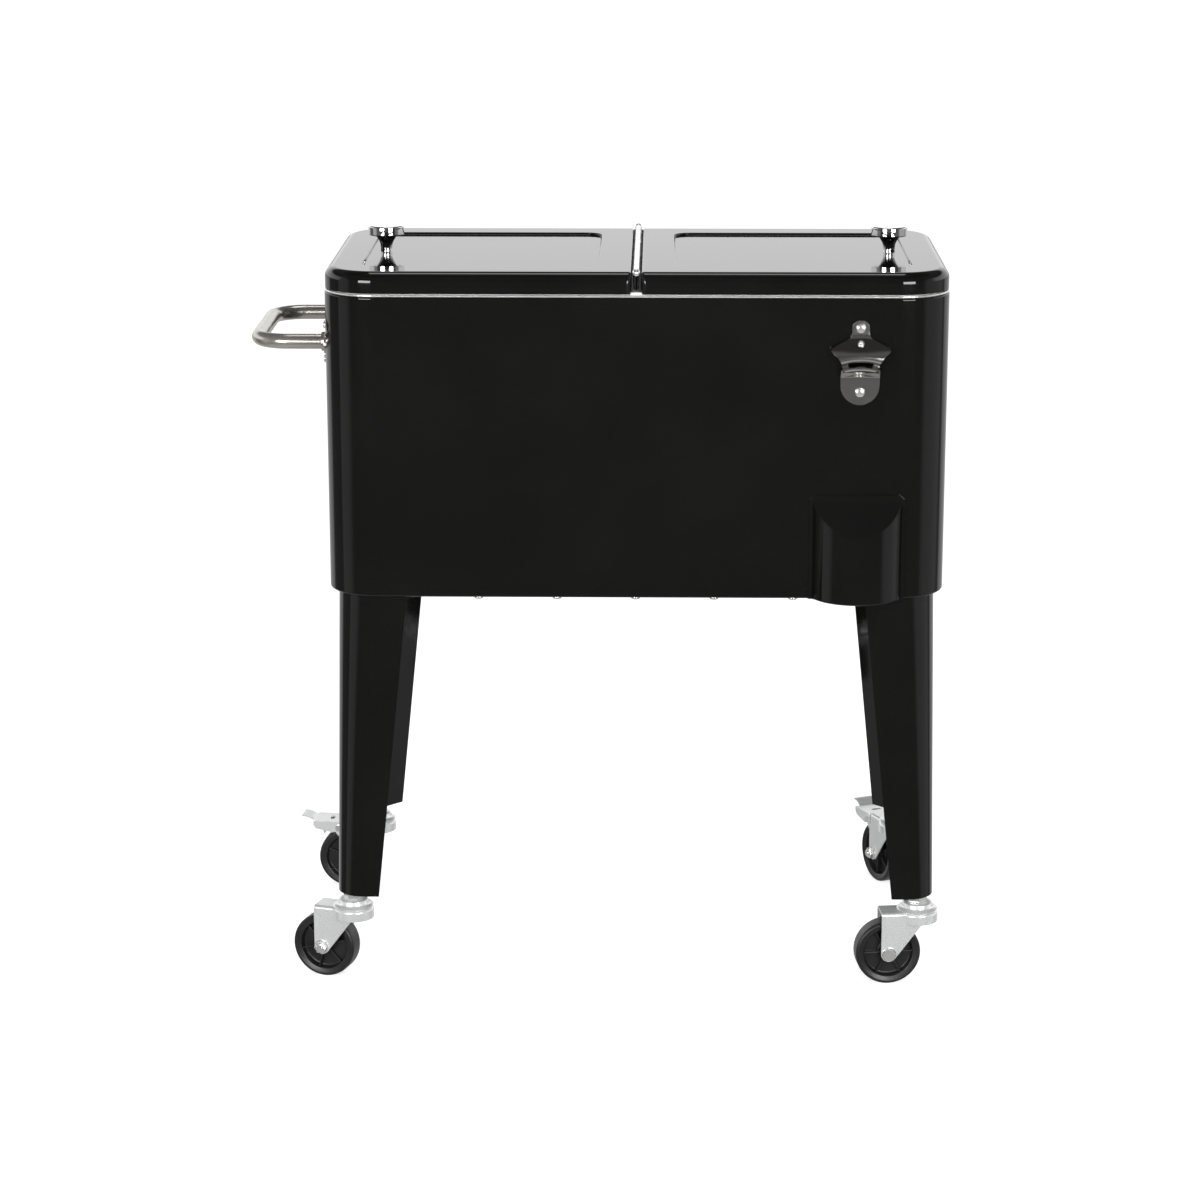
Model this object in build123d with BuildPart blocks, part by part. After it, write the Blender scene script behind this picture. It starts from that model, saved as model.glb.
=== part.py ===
from build123d import *
import os
from math import cos, sin, radians, sqrt, tan

# Rolling patio cooler, in millimetres. +Z is up, +X to the right end, -Y the front.
# The origin is on the floor, in the middle of the whole object's footprint, so the
# cabinet's middle stands a little to the right of it: the push handle takes up the left.
CABINET_X = 41.0
CABINET_Y = -15.31

# Cabinet: a sheet steel wall, rounded at its four corners
HALF_LENGTH = 323.5
HALF_DEPTH = 169.5
CORNER = 55.0
BOX_BOTTOM = 429.0
SHELL_TOP = 744.8
BOX_TOP = 747.0
SHEET = 1.2
RIM_FLANGE = 16.5
BASE_FLANGE = 16.0
FOLD = 2.4
TRIM_INSET = 0.2
TRIM_EDGE = 0.9

# Tub and foam
TUB_INSET = 20.0
TUB_WALL = 2.5
TUB_CORNER = 35.0
TUB_FLOOR = 452.0
TUB_RIM_INSET = 5.0
TUB_RIM_TOP = BOX_TOP + TUB_WALL
FOAM_GAP = 0.3
FOAM_BOTTOM = 440.0

# Bottom panel and its screws
PANEL_SHEET = 1.5
BASE_SCREW_PITCH = 82.0
BASE_SCREW_INSET = 7.5
BASE_SCREW_HEAD = 3.5
BASE_SCREW_LENGTH = 7.0

# Lids
LID_INSET = 0.7
LID_BOTTOM = 748.0
LID_TOP = 770.0
LID_EDGE = 10.8
LID_SPLIT = 4.6
SPLIT_CORNER = 7.0
SPLIT_EDGE = 3.0
LID_SHEET = 1.0
PANEL_NEAR = 40.0
PANEL_FAR = 284.0
PANEL_HALF_DEPTH = 125.0
PANEL_CORNER = 18.0
PANEL_SINK = 2.5
LID_LINER_BOTTOM = 751.6
LID_LINER_THICK = 2.0
SEAL_INSET = 12.0
SEAL_WIDTH = 4.5
SEAL_BOTTOM = TUB_RIM_TOP + 0.2

# Hinge on the middle line
HINGE_Z = 770.5
PIN_R = 1.7
PIN_BORE_R = 1.77
KNUCKLE_R = 3.0
KNUCKLES = 9
KNUCKLE_SPAN = 324.0
KNUCKLE_GAP = 0.5
LEAF = 1.4
BALL_R = 3.9
BAR_HALF_WIDTH = 18.0
BAR_HEIGHT = 12.0
BAR_SHEET = 1.5

# Knobs
KNOB_X = 268.0
KNOB_BASE = LID_TOP - PANEL_SINK
KNOB_CAP_R = 19.0

# Bottle opener and cap catcher, one above the other
OPENER_X = 229.5
OPENER_SHEET = 1.8
OPENER_SCREWS = (714.3, 698.6, 648.0)
CATCHER_HALF_WIDTH = 46.0
CATCHER_DEPTH = 31.0
CATCHER_TOP = 532.0
CATCHER_SHEET = 1.2
CATCHER_PLATE_TOP = 540.0
CATCHER_SCREW_Z = 505.0

# Push handle on the left end
HANDLE_Z = 686.0
HANDLE_R = 8.0
HANDLE_HALF_SPAN = 94.0
HANDLE_REACH = 75.5
HANDLE_BEND = 34.0
FLANGE_SCREW_RISE = 18.0

# Drain through the floor
DRAIN_X = 190.0
DRAIN_Y = 30.0
DRAIN_R = 12.0
DRAIN_BORE_R = 8.0
DRAIN_END = 404.0
DRAIN_FLANGE_R = 18.0
DRAIN_FLANGE = 1.8
DRAIN_SEAT = TUB_FLOOR + TUB_WALL - DRAIN_FLANGE

# Legs: outer corner of each at the top and at the foot, and the width of each side
LEG_TOP_INSET = 9.0
LEG_FOOT_INSET = 4.0
LEG_TOP_WIDTH = 76.0
LEG_FOOT_WIDTH = 46.5
LEG_TOP_CORNER = 46.0
LEG_FOOT_CORNER = 30.0
LEG_SHEET = 1.5
LEG_FOOT = 96.5
LEG_PLATE = 3.0

# Casters
STEM_X = 303.0
STEM_Y = 149.0
WHEEL_R = 35.0
WHEEL_WIDTH = 22.0
TRAIL = 32.0
AXLE_R = 4.0
AXLE_BORE_R = 4.08
KING_PIN_R = 6.0
KING_BORE_R = 6.08
CROWN_TOP = 81.0
CROWN_R = 22.0
CROWN_REACH = 40.5
FORK_SHEET = 2.0
FORK_HALF_GAP = 13.0
BRAKE_U = 42.0
BRAKE_Z = 73.0
BRAKE_PIN_R = 2.0
BRAKE_BORE_R = 2.06

# Trailing direction of each caster, in degrees from +X towards +Y, as it stands
CASTERS = {
    "front_left": (-1, -1, 162.0, False),
    "front_right": (1, -1, 186.0, False),
    "rear_left": (-1, 1, 174.0, True),
    "rear_right": (1, 1, 115.0, True),
}
# Which side of the fork each axle bolt's nut is on
NUT_SIDE = {"front_left": -1, "front_right": 1, "rear_left": -1, "rear_right": -1}

os.makedirs("parts", exist_ok=True)


def save(builder, name):
    builder.part.label = name
    export_step(builder.part, "parts/" + name + ".step")


def level(z):
    """Horizontal plane at height z, with its origin on the cabinet's middle line."""
    return Plane(origin=(CABINET_X, CABINET_Y, z), x_dir=(1, 0, 0), z_dir=(0, 0, 1))


def facing_front(y):
    """Upright plane facing the front, y behind the cabinet's middle: X across, Z up."""
    return Plane(origin=(CABINET_X, CABINET_Y + y, 0), x_dir=(1, 0, 0), z_dir=(0, -1, 0))


def facing_right(x):
    """Upright plane facing the right end: Y across, Z up."""
    return Plane(origin=(CABINET_X + x, CABINET_Y, 0), x_dir=(0, 1, 0), z_dir=(1, 0, 0))


def facing_left(x):
    """Upright plane facing the left end: -Y across, Z up."""
    return Plane(origin=(CABINET_X + x, CABINET_Y, 0), x_dir=(0, -1, 0), z_dir=(-1, 0, 0))


def cabinet_slab(inset, bottom, top, mode=Mode.ADD, corner=None):
    """Slab with the cabinet's rounded outline, drawn in by inset."""
    radius = CORNER - inset if corner is None else corner
    with BuildSketch(level(bottom)) as outline:
        RectangleRounded(2 * (HALF_LENGTH - inset), 2 * (HALF_DEPTH - inset), radius)
    extrude(outline.sketch, amount=top - bottom, mode=mode)


def pan_head_screws(planes, head_r, head_height, shank_r, length):
    """Pan-headed screws with a cross recess: each head stands out along its plane's normal."""
    with BuildPart() as screws:
        for plane in planes:
            with BuildSketch(plane):
                Circle(head_r)
            extrude(amount=head_height, taper=12)
            with BuildSketch(plane):
                Circle(shank_r)
            extrude(amount=-length)
            with BuildSketch(plane.offset(head_height * 0.45)):
                Rectangle(head_r * 1.1, head_r * 0.24)
                Rectangle(head_r * 0.24, head_r * 1.1)
            extrude(amount=head_height, mode=Mode.SUBTRACT)
    return screws


def shifted(plane, across, up):
    """The same plane with its origin moved within it."""
    return Plane(origin=plane.from_local_coords(Vector(across, up, 0)),
                 x_dir=plane.x_dir, z_dir=plane.z_dir)


# Screw places, each as a plane on the surface that the head sits on
front_wall = facing_front(-HALF_DEPTH)
left_wall = facing_left(-HALF_LENGTH)
opener_screw_planes = [shifted(front_wall.offset(OPENER_SHEET), OPENER_X, OPENER_SCREWS[0]),
                       shifted(front_wall.offset(OPENER_SHEET), OPENER_X, OPENER_SCREWS[2])]
catcher_screw_planes = [shifted(front_wall.offset(2 * CATCHER_SHEET), OPENER_X + dx, CATCHER_SCREW_Z)
                        for dx in (-22.0, 22.0)]
handle_screw_planes = [shifted(left_wall.offset(2.0), side * HANDLE_HALF_SPAN, HANDLE_Z + rise)
                       for side in (-1, 1) for rise in (-FLANGE_SCREW_RISE, FLANGE_SCREW_RISE)]
wall_screw_planes = opener_screw_planes + catcher_screw_planes + handle_screw_planes
WALL_SCREW_R = 2.0
WALL_SCREW_LENGTH = 11.0

base_screw_places = []
for row in (-1, 1):
    for step in range(-2, 3):
        base_screw_places.append((step * BASE_SCREW_PITCH, row * (HALF_DEPTH - BASE_SCREW_INSET)))
for end in (-1, 1):
    for step in (-0.5, 0.5):
        base_screw_places.append((end * (HALF_LENGTH - BASE_SCREW_INSET), step * BASE_SCREW_PITCH))

# Leg bolts: three places per leg, measured in from the leg's outer corner at the top
LEG_BOLTS = ((LEG_TOP_WIDTH - 4.0, 26.0), (26.0, LEG_TOP_WIDTH - 4.0), (50.0, 50.0))
LEG_BOLT_R = 3.0
leg_bolt_places = [(sx * (HALF_LENGTH - LEG_TOP_INSET - a), sy * (HALF_DEPTH - LEG_TOP_INSET - b))
                   for sx in (-1, 1) for sy in (-1, 1) for a, b in LEG_BOLTS]

# Cabinet shell: wall with a flange turned in at the rim and at the base
with BuildPart() as cabinet_shell:
    cabinet_slab(0, BOX_BOTTOM, SHELL_TOP)
    fillet(cabinet_shell.edges().group_by(Axis.Z)[-1], FOLD)
    fillet(cabinet_shell.edges().group_by(Axis.Z)[0], FOLD)
    cabinet_slab(SHEET, BOX_BOTTOM + SHEET, SHELL_TOP - SHEET, Mode.SUBTRACT)
    cabinet_slab(RIM_FLANGE, SHELL_TOP - SHEET, SHELL_TOP, Mode.SUBTRACT)
    cabinet_slab(BASE_FLANGE, BOX_BOTTOM, BOX_BOTTOM + SHEET, Mode.SUBTRACT)
    for plane in wall_screw_planes:
        with BuildSketch(plane):
            Circle(WALL_SCREW_R + 0.1)
        extrude(amount=-WALL_SCREW_LENGTH, mode=Mode.SUBTRACT)
    with BuildSketch(level(BOX_BOTTOM)):
        with Locations(*base_screw_places, *leg_bolt_places):
            Circle(LEG_BOLT_R + 0.1)
    extrude(amount=SHEET, mode=Mode.SUBTRACT)
save(cabinet_shell, "cabinet_shell")

# Rim trim: bare steel ring on the rim flange, seen as a bright line under the lids
with BuildPart() as rim_trim:
    cabinet_slab(TRIM_INSET, SHELL_TOP, BOX_TOP)
    fillet(rim_trim.edges().group_by(Axis.Z)[-1] + rim_trim.edges().group_by(Axis.Z)[0], TRIM_EDGE)
    cabinet_slab(RIM_FLANGE, SHELL_TOP, BOX_TOP, Mode.SUBTRACT)
save(rim_trim, "rim_trim")

# Bottom panel: lies on the base flange, inside the wall
with BuildPart() as bottom_panel:
    cabinet_slab(SHEET + 0.3, BOX_BOTTOM + SHEET, BOX_BOTTOM + SHEET + PANEL_SHEET)
    with BuildSketch(level(BOX_BOTTOM + SHEET)):
        with Locations(*leg_bolt_places, *base_screw_places):
            Circle(LEG_BOLT_R + 0.1)
        with Locations((DRAIN_X, DRAIN_Y)):
            Circle(DRAIN_R + 0.2)
    extrude(amount=PANEL_SHEET, mode=Mode.SUBTRACT)
save(bottom_panel, "bottom_panel")

base_screw_planes = [Plane(origin=(CABINET_X + x, CABINET_Y + y, BOX_BOTTOM),
                           x_dir=(1, 0, 0), z_dir=(0, 0, -1)) for x, y in base_screw_places]
bottom_screws = pan_head_screws(base_screw_planes, 4.0, BASE_SCREW_HEAD, 1.9, BASE_SCREW_LENGTH)
save(bottom_screws, "bottom_screws")

# Tub: wall, floor and the rim that lies on the cabinet's rim flange
with BuildPart() as basin_liner:
    cabinet_slab(TUB_RIM_INSET, BOX_TOP, TUB_RIM_TOP)
    cabinet_slab(TUB_INSET - TUB_WALL, TUB_FLOOR, BOX_TOP, corner=TUB_CORNER + TUB_WALL)
    fillet(basin_liner.edges().group_by(Axis.Z)[0], 10.0)
    fillet(basin_liner.edges().group_by(Axis.Z)[-1], 1.0)
    with BuildPart(mode=Mode.PRIVATE) as tub_space:
        cabinet_slab(TUB_INSET, TUB_FLOOR + TUB_WALL, TUB_RIM_TOP, corner=TUB_CORNER)
        fillet(tub_space.edges().group_by(Axis.Z)[0], 8.0)
    add(tub_space.part, mode=Mode.SUBTRACT)
    # recess that takes the drain's flange, so that the last water runs out
    for z, radius, height, mode in ((DRAIN_SEAT - TUB_WALL, DRAIN_FLANGE_R + 3.0, TUB_WALL, Mode.ADD),
                                    (DRAIN_SEAT, DRAIN_FLANGE_R + 0.4, DRAIN_FLANGE, Mode.SUBTRACT),
                                    (DRAIN_SEAT - TUB_WALL, DRAIN_R + 0.1, TUB_WALL, Mode.SUBTRACT)):
        with BuildSketch(level(z)):
            with Locations((DRAIN_X, DRAIN_Y)):
                Circle(radius)
        extrude(amount=height, mode=mode)
save(basin_liner, "basin_liner")

# Foam between the tub and the steel, with room for the screws and the drain
with BuildPart() as foam_insulation:
    cabinet_slab(SHEET + FOAM_GAP, FOAM_BOTTOM, SHELL_TOP - SHEET)
    with BuildPart(mode=Mode.PRIVATE) as tub_outside:
        cabinet_slab(TUB_INSET - TUB_WALL - FOAM_GAP, TUB_FLOOR, BOX_TOP,
                     corner=TUB_CORNER + TUB_WALL + FOAM_GAP)
        fillet(tub_outside.edges().group_by(Axis.Z)[0], 9.0)
    add(tub_outside.part, mode=Mode.SUBTRACT)
    for plane in wall_screw_planes:
        with BuildSketch(plane):
            Circle(WALL_SCREW_R + 0.5)
        extrude(amount=-WALL_SCREW_LENGTH - 1.0, mode=Mode.SUBTRACT)
    for z, radius in ((FOAM_BOTTOM, DRAIN_R + 0.5), (DRAIN_SEAT - TUB_WALL - FOAM_GAP, DRAIN_FLANGE_R + 3.3)):
        with BuildSketch(level(z)):
            with Locations((DRAIN_X, DRAIN_Y)):
                Circle(radius)
        extrude(amount=TUB_FLOOR - z, mode=Mode.SUBTRACT)
save(foam_insulation, "foam_insulation")

# Bar across the tub under the split: a folded channel, open below
with BuildPart() as centre_bar:
    bar_length = 2 * (HALF_DEPTH - TUB_INSET) - 0.6
    with BuildSketch(level(TUB_RIM_TOP - BAR_HEIGHT)):
        Rectangle(2 * BAR_HALF_WIDTH, bar_length)
    extrude(amount=BAR_HEIGHT)
    fillet(centre_bar.edges().group_by(Axis.Z)[-1].filter_by(Axis.Y), 2.0)
    with BuildSketch(level(TUB_RIM_TOP - BAR_HEIGHT)):
        Rectangle(2 * (BAR_HALF_WIDTH - BAR_SHEET), bar_length - 2 * BAR_SHEET)
    extrude(amount=BAR_HEIGHT - BAR_SHEET, mode=Mode.SUBTRACT)
save(centre_bar, "centre_bar")

# Piano hinge: the knuckles are shared out front to back between three leaves
KNUCKLE_PITCH = KNUCKLE_SPAN / KNUCKLES
KNUCKLE_OWNER = ("fixed", "left", "right", "left", "fixed", "right", "left", "right", "fixed")


def knuckle_tubes(owner):
    """Knuckles of one leaf, with its neck strips when it is a lid's leaf."""
    side = {"left": -1, "right": 1, "fixed": 0}[owner]
    for index, name in enumerate(KNUCKLE_OWNER):
        if name != owner:
            continue
        front = -KNUCKLE_SPAN / 2 + index * KNUCKLE_PITCH + KNUCKLE_GAP / 2
        with BuildSketch(facing_front(front)) as section:
            with Locations((0, HINGE_Z)):
                Circle(KNUCKLE_R)
            if side:
                with Locations((side * LID_SPLIT / 2, HINGE_Z - KNUCKLE_R + LEAF / 2)):
                    Rectangle(LID_SPLIT, LEAF)
            else:
                with Locations((0, HINGE_Z - 3.0)):
                    Rectangle(LEAF, 4.0)
        extrude(section.sketch, amount=-(KNUCKLE_PITCH - KNUCKLE_GAP))


def pin_bore():
    with BuildSketch(facing_front(-HALF_DEPTH)) as section:
        with Locations((0, HINGE_Z)):
            Circle(PIN_BORE_R)
    extrude(section.sketch, amount=-2 * HALF_DEPTH, mode=Mode.SUBTRACT)


with BuildPart() as hinge_centre_leaf:
    plate_top = HINGE_Z - KNUCKLE_R - 0.5
    with BuildSketch(facing_front(-bar_length / 2)):
        with Locations((0, (TUB_RIM_TOP + plate_top) / 2)):
            Rectangle(LEAF, plate_top - TUB_RIM_TOP)
    extrude(amount=-bar_length)
    knuckle_tubes("fixed")
    pin_bore()
save(hinge_centre_leaf, "hinge_centre_leaf")

with BuildPart() as hinge_pin:
    with BuildSketch(facing_front(-HALF_DEPTH + 1.0)):
        with Locations((0, HINGE_Z)):
            Circle(PIN_R)
    extrude(amount=-2 * (HALF_DEPTH - 1.0))
    for end in (-1, 1):
        with Locations((CABINET_X, CABINET_Y + end * (HALF_DEPTH - 1.0), HINGE_Z)):
            Sphere(BALL_R)
save(hinge_pin, "hinge_pin")


# Lids
def lid_block(side, inset):
    """Closed outer shape of one lid, drawn in by inset on every face but the lowest."""
    with BuildPart() as pan:
        cabinet_slab(LID_INSET + inset, LID_BOTTOM, LID_TOP - inset)
        fillet(pan.edges().group_by(Axis.Z)[-1], LID_EDGE - inset)
    near = LID_SPLIT + inset
    far = HALF_LENGTH + 20.0
    with BuildPart() as half:
        with BuildSketch(level(LID_BOTTOM)):
            with Locations((side * (near + far) / 2, 0)):
                RectangleRounded(far - near, 2 * (HALF_DEPTH - LID_INSET - inset), SPLIT_CORNER - inset)
        extrude(amount=LID_TOP - inset - LID_BOTTOM)
        fillet(half.edges().group_by(Axis.Z)[-1], SPLIT_EDGE - inset)
        add(pan.part, mode=Mode.INTERSECT)
    return half.part


def sunk_panel(side, top, grow, mode=Mode.SUBTRACT):
    """Sloping pocket of the sunk panel, cut from a top face at the given height."""
    centre = side * (PANEL_NEAR + PANEL_FAR) / 2
    length = PANEL_FAR - PANEL_NEAR + 2 * grow
    with BuildSketch(level(top)) as outline:
        with Locations((centre, 0)):
            RectangleRounded(length, 2 * PANEL_HALF_DEPTH + 2 * grow, PANEL_CORNER)
    extrude(outline.sketch, amount=-PANEL_SINK, taper=45, mode=mode)


def knob_profile():
    """Half outline of the knob, from its axis out, on the plane through its axis."""
    with BuildLine() as outline:
        foot = Line((0, KNOB_BASE), (6.3, KNOB_BASE))
        stalk = Line(foot @ 1, (6.1, KNOB_BASE + 3.0))
        flare = ThreePointArc(stalk @ 1, (7.9, KNOB_BASE + 11.0), (12.0, KNOB_BASE + 17.0))
        under = Line(flare @ 1, (17.8, KNOB_BASE + 17.6))
        lower = ThreePointArc(under @ 1, (18.65, KNOB_BASE + 17.95), (KNOB_CAP_R, KNOB_BASE + 18.8))
        side = Line(lower @ 1, (KNOB_CAP_R, KNOB_BASE + 26.3))
        upper = ThreePointArc(side @ 1, (18.55, KNOB_BASE + 27.4), (17.4, KNOB_BASE + 27.9))
        Line(upper @ 1, (0, KNOB_BASE + 28.2))
        Line((0, KNOB_BASE + 28.2), (0, KNOB_BASE))
    make_face(outline.line)


def make_lid(name, side):
    outer = lid_block(side, 0.0)
    inner = lid_block(side, LID_SHEET)
    core = lid_block(side, LID_SHEET + 0.3)
    knob_x = side * KNOB_X

    with BuildPart() as space:
        add(inner)
        sunk_panel(side, LID_TOP - LID_SHEET, 0.4)
    with BuildPart() as skin:
        add(outer)
        sunk_panel(side, LID_TOP, 0.0)
        add(space.part, mode=Mode.SUBTRACT)
        # the wall along the split stops short, above the tub's rim and the centre bar
        with BuildSketch(level(LID_BOTTOM - 1.0)):
            with Locations((side * LID_SPLIT, 0)):
                Rectangle(6.0, 2 * (HALF_DEPTH - 3.5))
        extrude(amount=TUB_RIM_TOP + 0.8 - LID_BOTTOM + 1.0, mode=Mode.SUBTRACT)
        with BuildSketch(level(LID_BOTTOM)):
            with Locations((knob_x, 0)):
                Circle(2.6)
        extrude(amount=LID_TOP - LID_BOTTOM, mode=Mode.SUBTRACT)
    save(skin, name + "_lid_skin")

    liner_top = LID_LINER_BOTTOM + LID_LINER_THICK
    with BuildPart() as liner:
        add(core)
        cabinet_slab(0, LID_LINER_BOTTOM, liner_top, Mode.INTERSECT)
    save(liner, name + "_lid_liner")

    with BuildPart() as foam:
        add(core)
        cabinet_slab(0, liner_top, LID_TOP, Mode.INTERSECT)
        sunk_panel(side, LID_TOP - LID_SHEET - 0.3, 0.6)
        with BuildSketch(level(liner_top)):
            with Locations((knob_x, 0)):
                Circle(7.5)
        extrude(amount=LID_TOP - liner_top, mode=Mode.SUBTRACT)
    save(foam, name + "_lid_foam")

    seal_start = LID_SPLIT + 4.0
    seal_length = HALF_LENGTH - seal_start
    with BuildPart() as seal:
        for inset, cut in ((0, Mode.ADD), (SEAL_WIDTH, Mode.SUBTRACT)):
            with BuildSketch(level(SEAL_BOTTOM)):
                RectangleRounded(2 * (HALF_LENGTH - SEAL_INSET - inset),
                                 2 * (HALF_DEPTH - SEAL_INSET - inset), CORNER - SEAL_INSET - inset)
                with Locations((side * (seal_start + inset + seal_length / 2), 0)):
                    Rectangle(seal_length, 2 * HALF_DEPTH, mode=Mode.INTERSECT)
            extrude(amount=LID_LINER_BOTTOM - SEAL_BOTTOM, mode=cut)
    save(seal, name + "_lid_seal")

    with BuildPart() as leaf:
        leaf_bottom = TUB_RIM_TOP + 1.4
        leaf_top = HINGE_Z - KNUCKLE_R + LEAF
        with BuildSketch(facing_front(-KNUCKLE_SPAN / 2)):
            with Locations((side * (LID_SPLIT - LEAF / 2), (leaf_bottom + leaf_top) / 2)):
                Rectangle(LEAF, leaf_top - leaf_bottom)
        extrude(amount=-KNUCKLE_SPAN)
        knuckle_tubes(name)
        pin_bore()
    save(leaf, name + "_hinge_leaf")

    axis = Axis((CABINET_X + knob_x, CABINET_Y, 0), (0, 0, 1))
    with BuildPart() as knob:
        with BuildSketch(Plane(origin=(CABINET_X + knob_x, CABINET_Y, 0),
                               x_dir=(1, 0, 0), z_dir=(0, -1, 0))):
            knob_profile()
        revolve(axis=axis)
        with BuildSketch(Plane(origin=(CABINET_X + knob_x, CABINET_Y, KNOB_BASE))):
            Circle(2.5)
        extrude(amount=14.0, mode=Mode.SUBTRACT)
    save(knob, name + "_knob")

    with BuildPart() as screw:
        with BuildSketch(Plane(origin=(CABINET_X + knob_x, CABINET_Y, KNOB_BASE - LID_SHEET))):
            Circle(2.45)
        extrude(amount=13.0)
        with BuildSketch(Plane(origin=(CABINET_X + knob_x, CABINET_Y, KNOB_BASE - LID_SHEET))):
            Circle(6.0)
        extrude(amount=-3.5, taper=10)
    save(screw, name + "_knob_screw")


for lid_name, lid_side in (("left", -1), ("right", 1)):
    make_lid(lid_name, lid_side)

# Bottle opener: a sheet bent to a profile, then cut to its outline
OPENER_PROFILE = (
    (0.9, 724.0), (0.9, 706.5), (13.2, 689.6), (14.2, 684.4), (8.0, 680.6),
    (5.6, 678.4), (9.8, 674.2), (0.9, 664.8), (0.9, 633.0),
)
OPENER_TAB = 8.9
OPENER_WING = 30.4
OPENER_WAIST = 19.6
OPENER_PLATE = 20.0
OPENER_EDGE = (
    (OPENER_TAB, 714.0), (OPENER_TAB, 706.8), (OPENER_WING - 2.5, 698.0), (OPENER_WING, 694.6),
    (OPENER_WAIST + 1.0, 684.4), (OPENER_WAIST - 0.4, 680.0), (OPENER_PLATE, 674.0), (OPENER_PLATE, 654.8),
)
with BuildPart() as bottle_opener:
    with BuildSketch(facing_right(OPENER_X - 40.0)):
        with BuildLine() as bent:
            FilletPolyline(*[(-HALF_DEPTH - d, z) for d, z in OPENER_PROFILE], radius=1.4)
        trace(bent.line, line_width=OPENER_SHEET)
    extrude(amount=80.0)
    with BuildSketch(facing_front(-HALF_DEPTH - 20.0)):
        with BuildLine():
            Polyline(*[(OPENER_X + x, z) for x, z in OPENER_EDGE])
            Polyline(*[(OPENER_X - x, z) for x, z in OPENER_EDGE])
            ThreePointArc((OPENER_X + OPENER_PLATE, 654.8), (OPENER_X, 634.8),
                          (OPENER_X - OPENER_PLATE, 654.8))
            ThreePointArc((OPENER_X - OPENER_TAB, 714.0), (OPENER_X, 714.0 + OPENER_TAB),
                          (OPENER_X + OPENER_TAB, 714.0))
        make_face()
    extrude(amount=-20.0, mode=Mode.INTERSECT)
    # mouth under the hood's lip, where the bottle's cap goes in
    with BuildSketch(facing_front(-HALF_DEPTH - 20.0)):
        with Locations((OPENER_X, 681.0)):
            RectangleRounded(28.0, 6.0, 2.0)
    extrude(amount=-20.0, mode=Mode.SUBTRACT)
    with BuildSketch(facing_front(-HALF_DEPTH - 10.5)):
        with Locations(*[(OPENER_X, z) for z in OPENER_SCREWS]):
            Circle(WALL_SCREW_R + 0.1)
    extrude(amount=-10.5, mode=Mode.SUBTRACT)
save(bottle_opener, "bottle_opener")

slope_rise = 706.5 - 689.6
slope_run = 13.2 - 0.9
slope_length = sqrt(slope_rise ** 2 + slope_run ** 2)
slope_screw_out = 0.9 + slope_run * (706.5 - OPENER_SCREWS[1]) / slope_rise
slope_plane = Plane(origin=(CABINET_X + OPENER_X, CABINET_Y - HALF_DEPTH - slope_screw_out, OPENER_SCREWS[1]),
                    x_dir=(1, 0, 0), z_dir=(0, -slope_rise / slope_length, slope_run / slope_length))
with BuildPart() as opener_screws:
    add(pan_head_screws(opener_screw_planes, 4.9, 2.6, WALL_SCREW_R, WALL_SCREW_LENGTH).part)
    add(pan_head_screws([slope_plane.offset(OPENER_SHEET / 2)], 3.3, 2.2, 1.4, 3.4).part)
save(opener_screws, "opener_screws")


# Cap catcher: bowed cup with a floor, on a back plate with clipped corners
def bowed_outline(half_width, depth, back):
    """Outline of the cup in plan: flat at the back, bowed to the front."""
    left = (OPENER_X - half_width, back)
    right = (OPENER_X + half_width, back)
    with BuildLine() as outline:
        Line(left, right)
        ThreePointArc(right, (OPENER_X, back - depth), left)
    make_face(outline.line)


catcher_back = -HALF_DEPTH - CATCHER_SHEET
with BuildPart() as cap_catcher:
    with BuildSketch(facing_front(-HALF_DEPTH)):
        with Locations((OPENER_X, (BOX_BOTTOM + CATCHER_PLATE_TOP) / 2)):
            plate = Rectangle(2 * CATCHER_HALF_WIDTH + 8.0, CATCHER_PLATE_TOP - BOX_BOTTOM)
        chamfer(plate.vertices().group_by(Axis.Y)[-1], 6.0)
    extrude(amount=CATCHER_SHEET)
    with BuildSketch(level(BOX_BOTTOM)):
        bowed_outline(CATCHER_HALF_WIDTH, CATCHER_DEPTH, catcher_back)
    extrude(amount=CATCHER_TOP - BOX_BOTTOM)
    with BuildSketch(level(BOX_BOTTOM + CATCHER_SHEET)):
        bowed_outline(CATCHER_HALF_WIDTH - 3.2, CATCHER_DEPTH - 2 * CATCHER_SHEET,
                      catcher_back - CATCHER_SHEET)
    extrude(amount=CATCHER_TOP - BOX_BOTTOM, mode=Mode.SUBTRACT)
    # the rim falls a little towards the front
    with BuildSketch(facing_right(OPENER_X - 60.0)):
        with BuildLine():
            Polyline((catcher_back, CATCHER_TOP), (catcher_back - 35.0, CATCHER_TOP - 4.0),
                     (catcher_back - 35.0, CATCHER_TOP + 1.0), (catcher_back, CATCHER_TOP + 1.0),
                     close=True)
        make_face()
    extrude(amount=120.0, mode=Mode.SUBTRACT)
    for plane in catcher_screw_planes:
        with BuildSketch(plane):
            Circle(WALL_SCREW_R + 0.1)
        extrude(amount=-2 * CATCHER_SHEET, mode=Mode.SUBTRACT)
save(cap_catcher, "cap_catcher")

catcher_screws = pan_head_screws(catcher_screw_planes, 4.0, 2.4, WALL_SCREW_R, WALL_SCREW_LENGTH)
save(catcher_screws, "catcher_screws")

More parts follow.
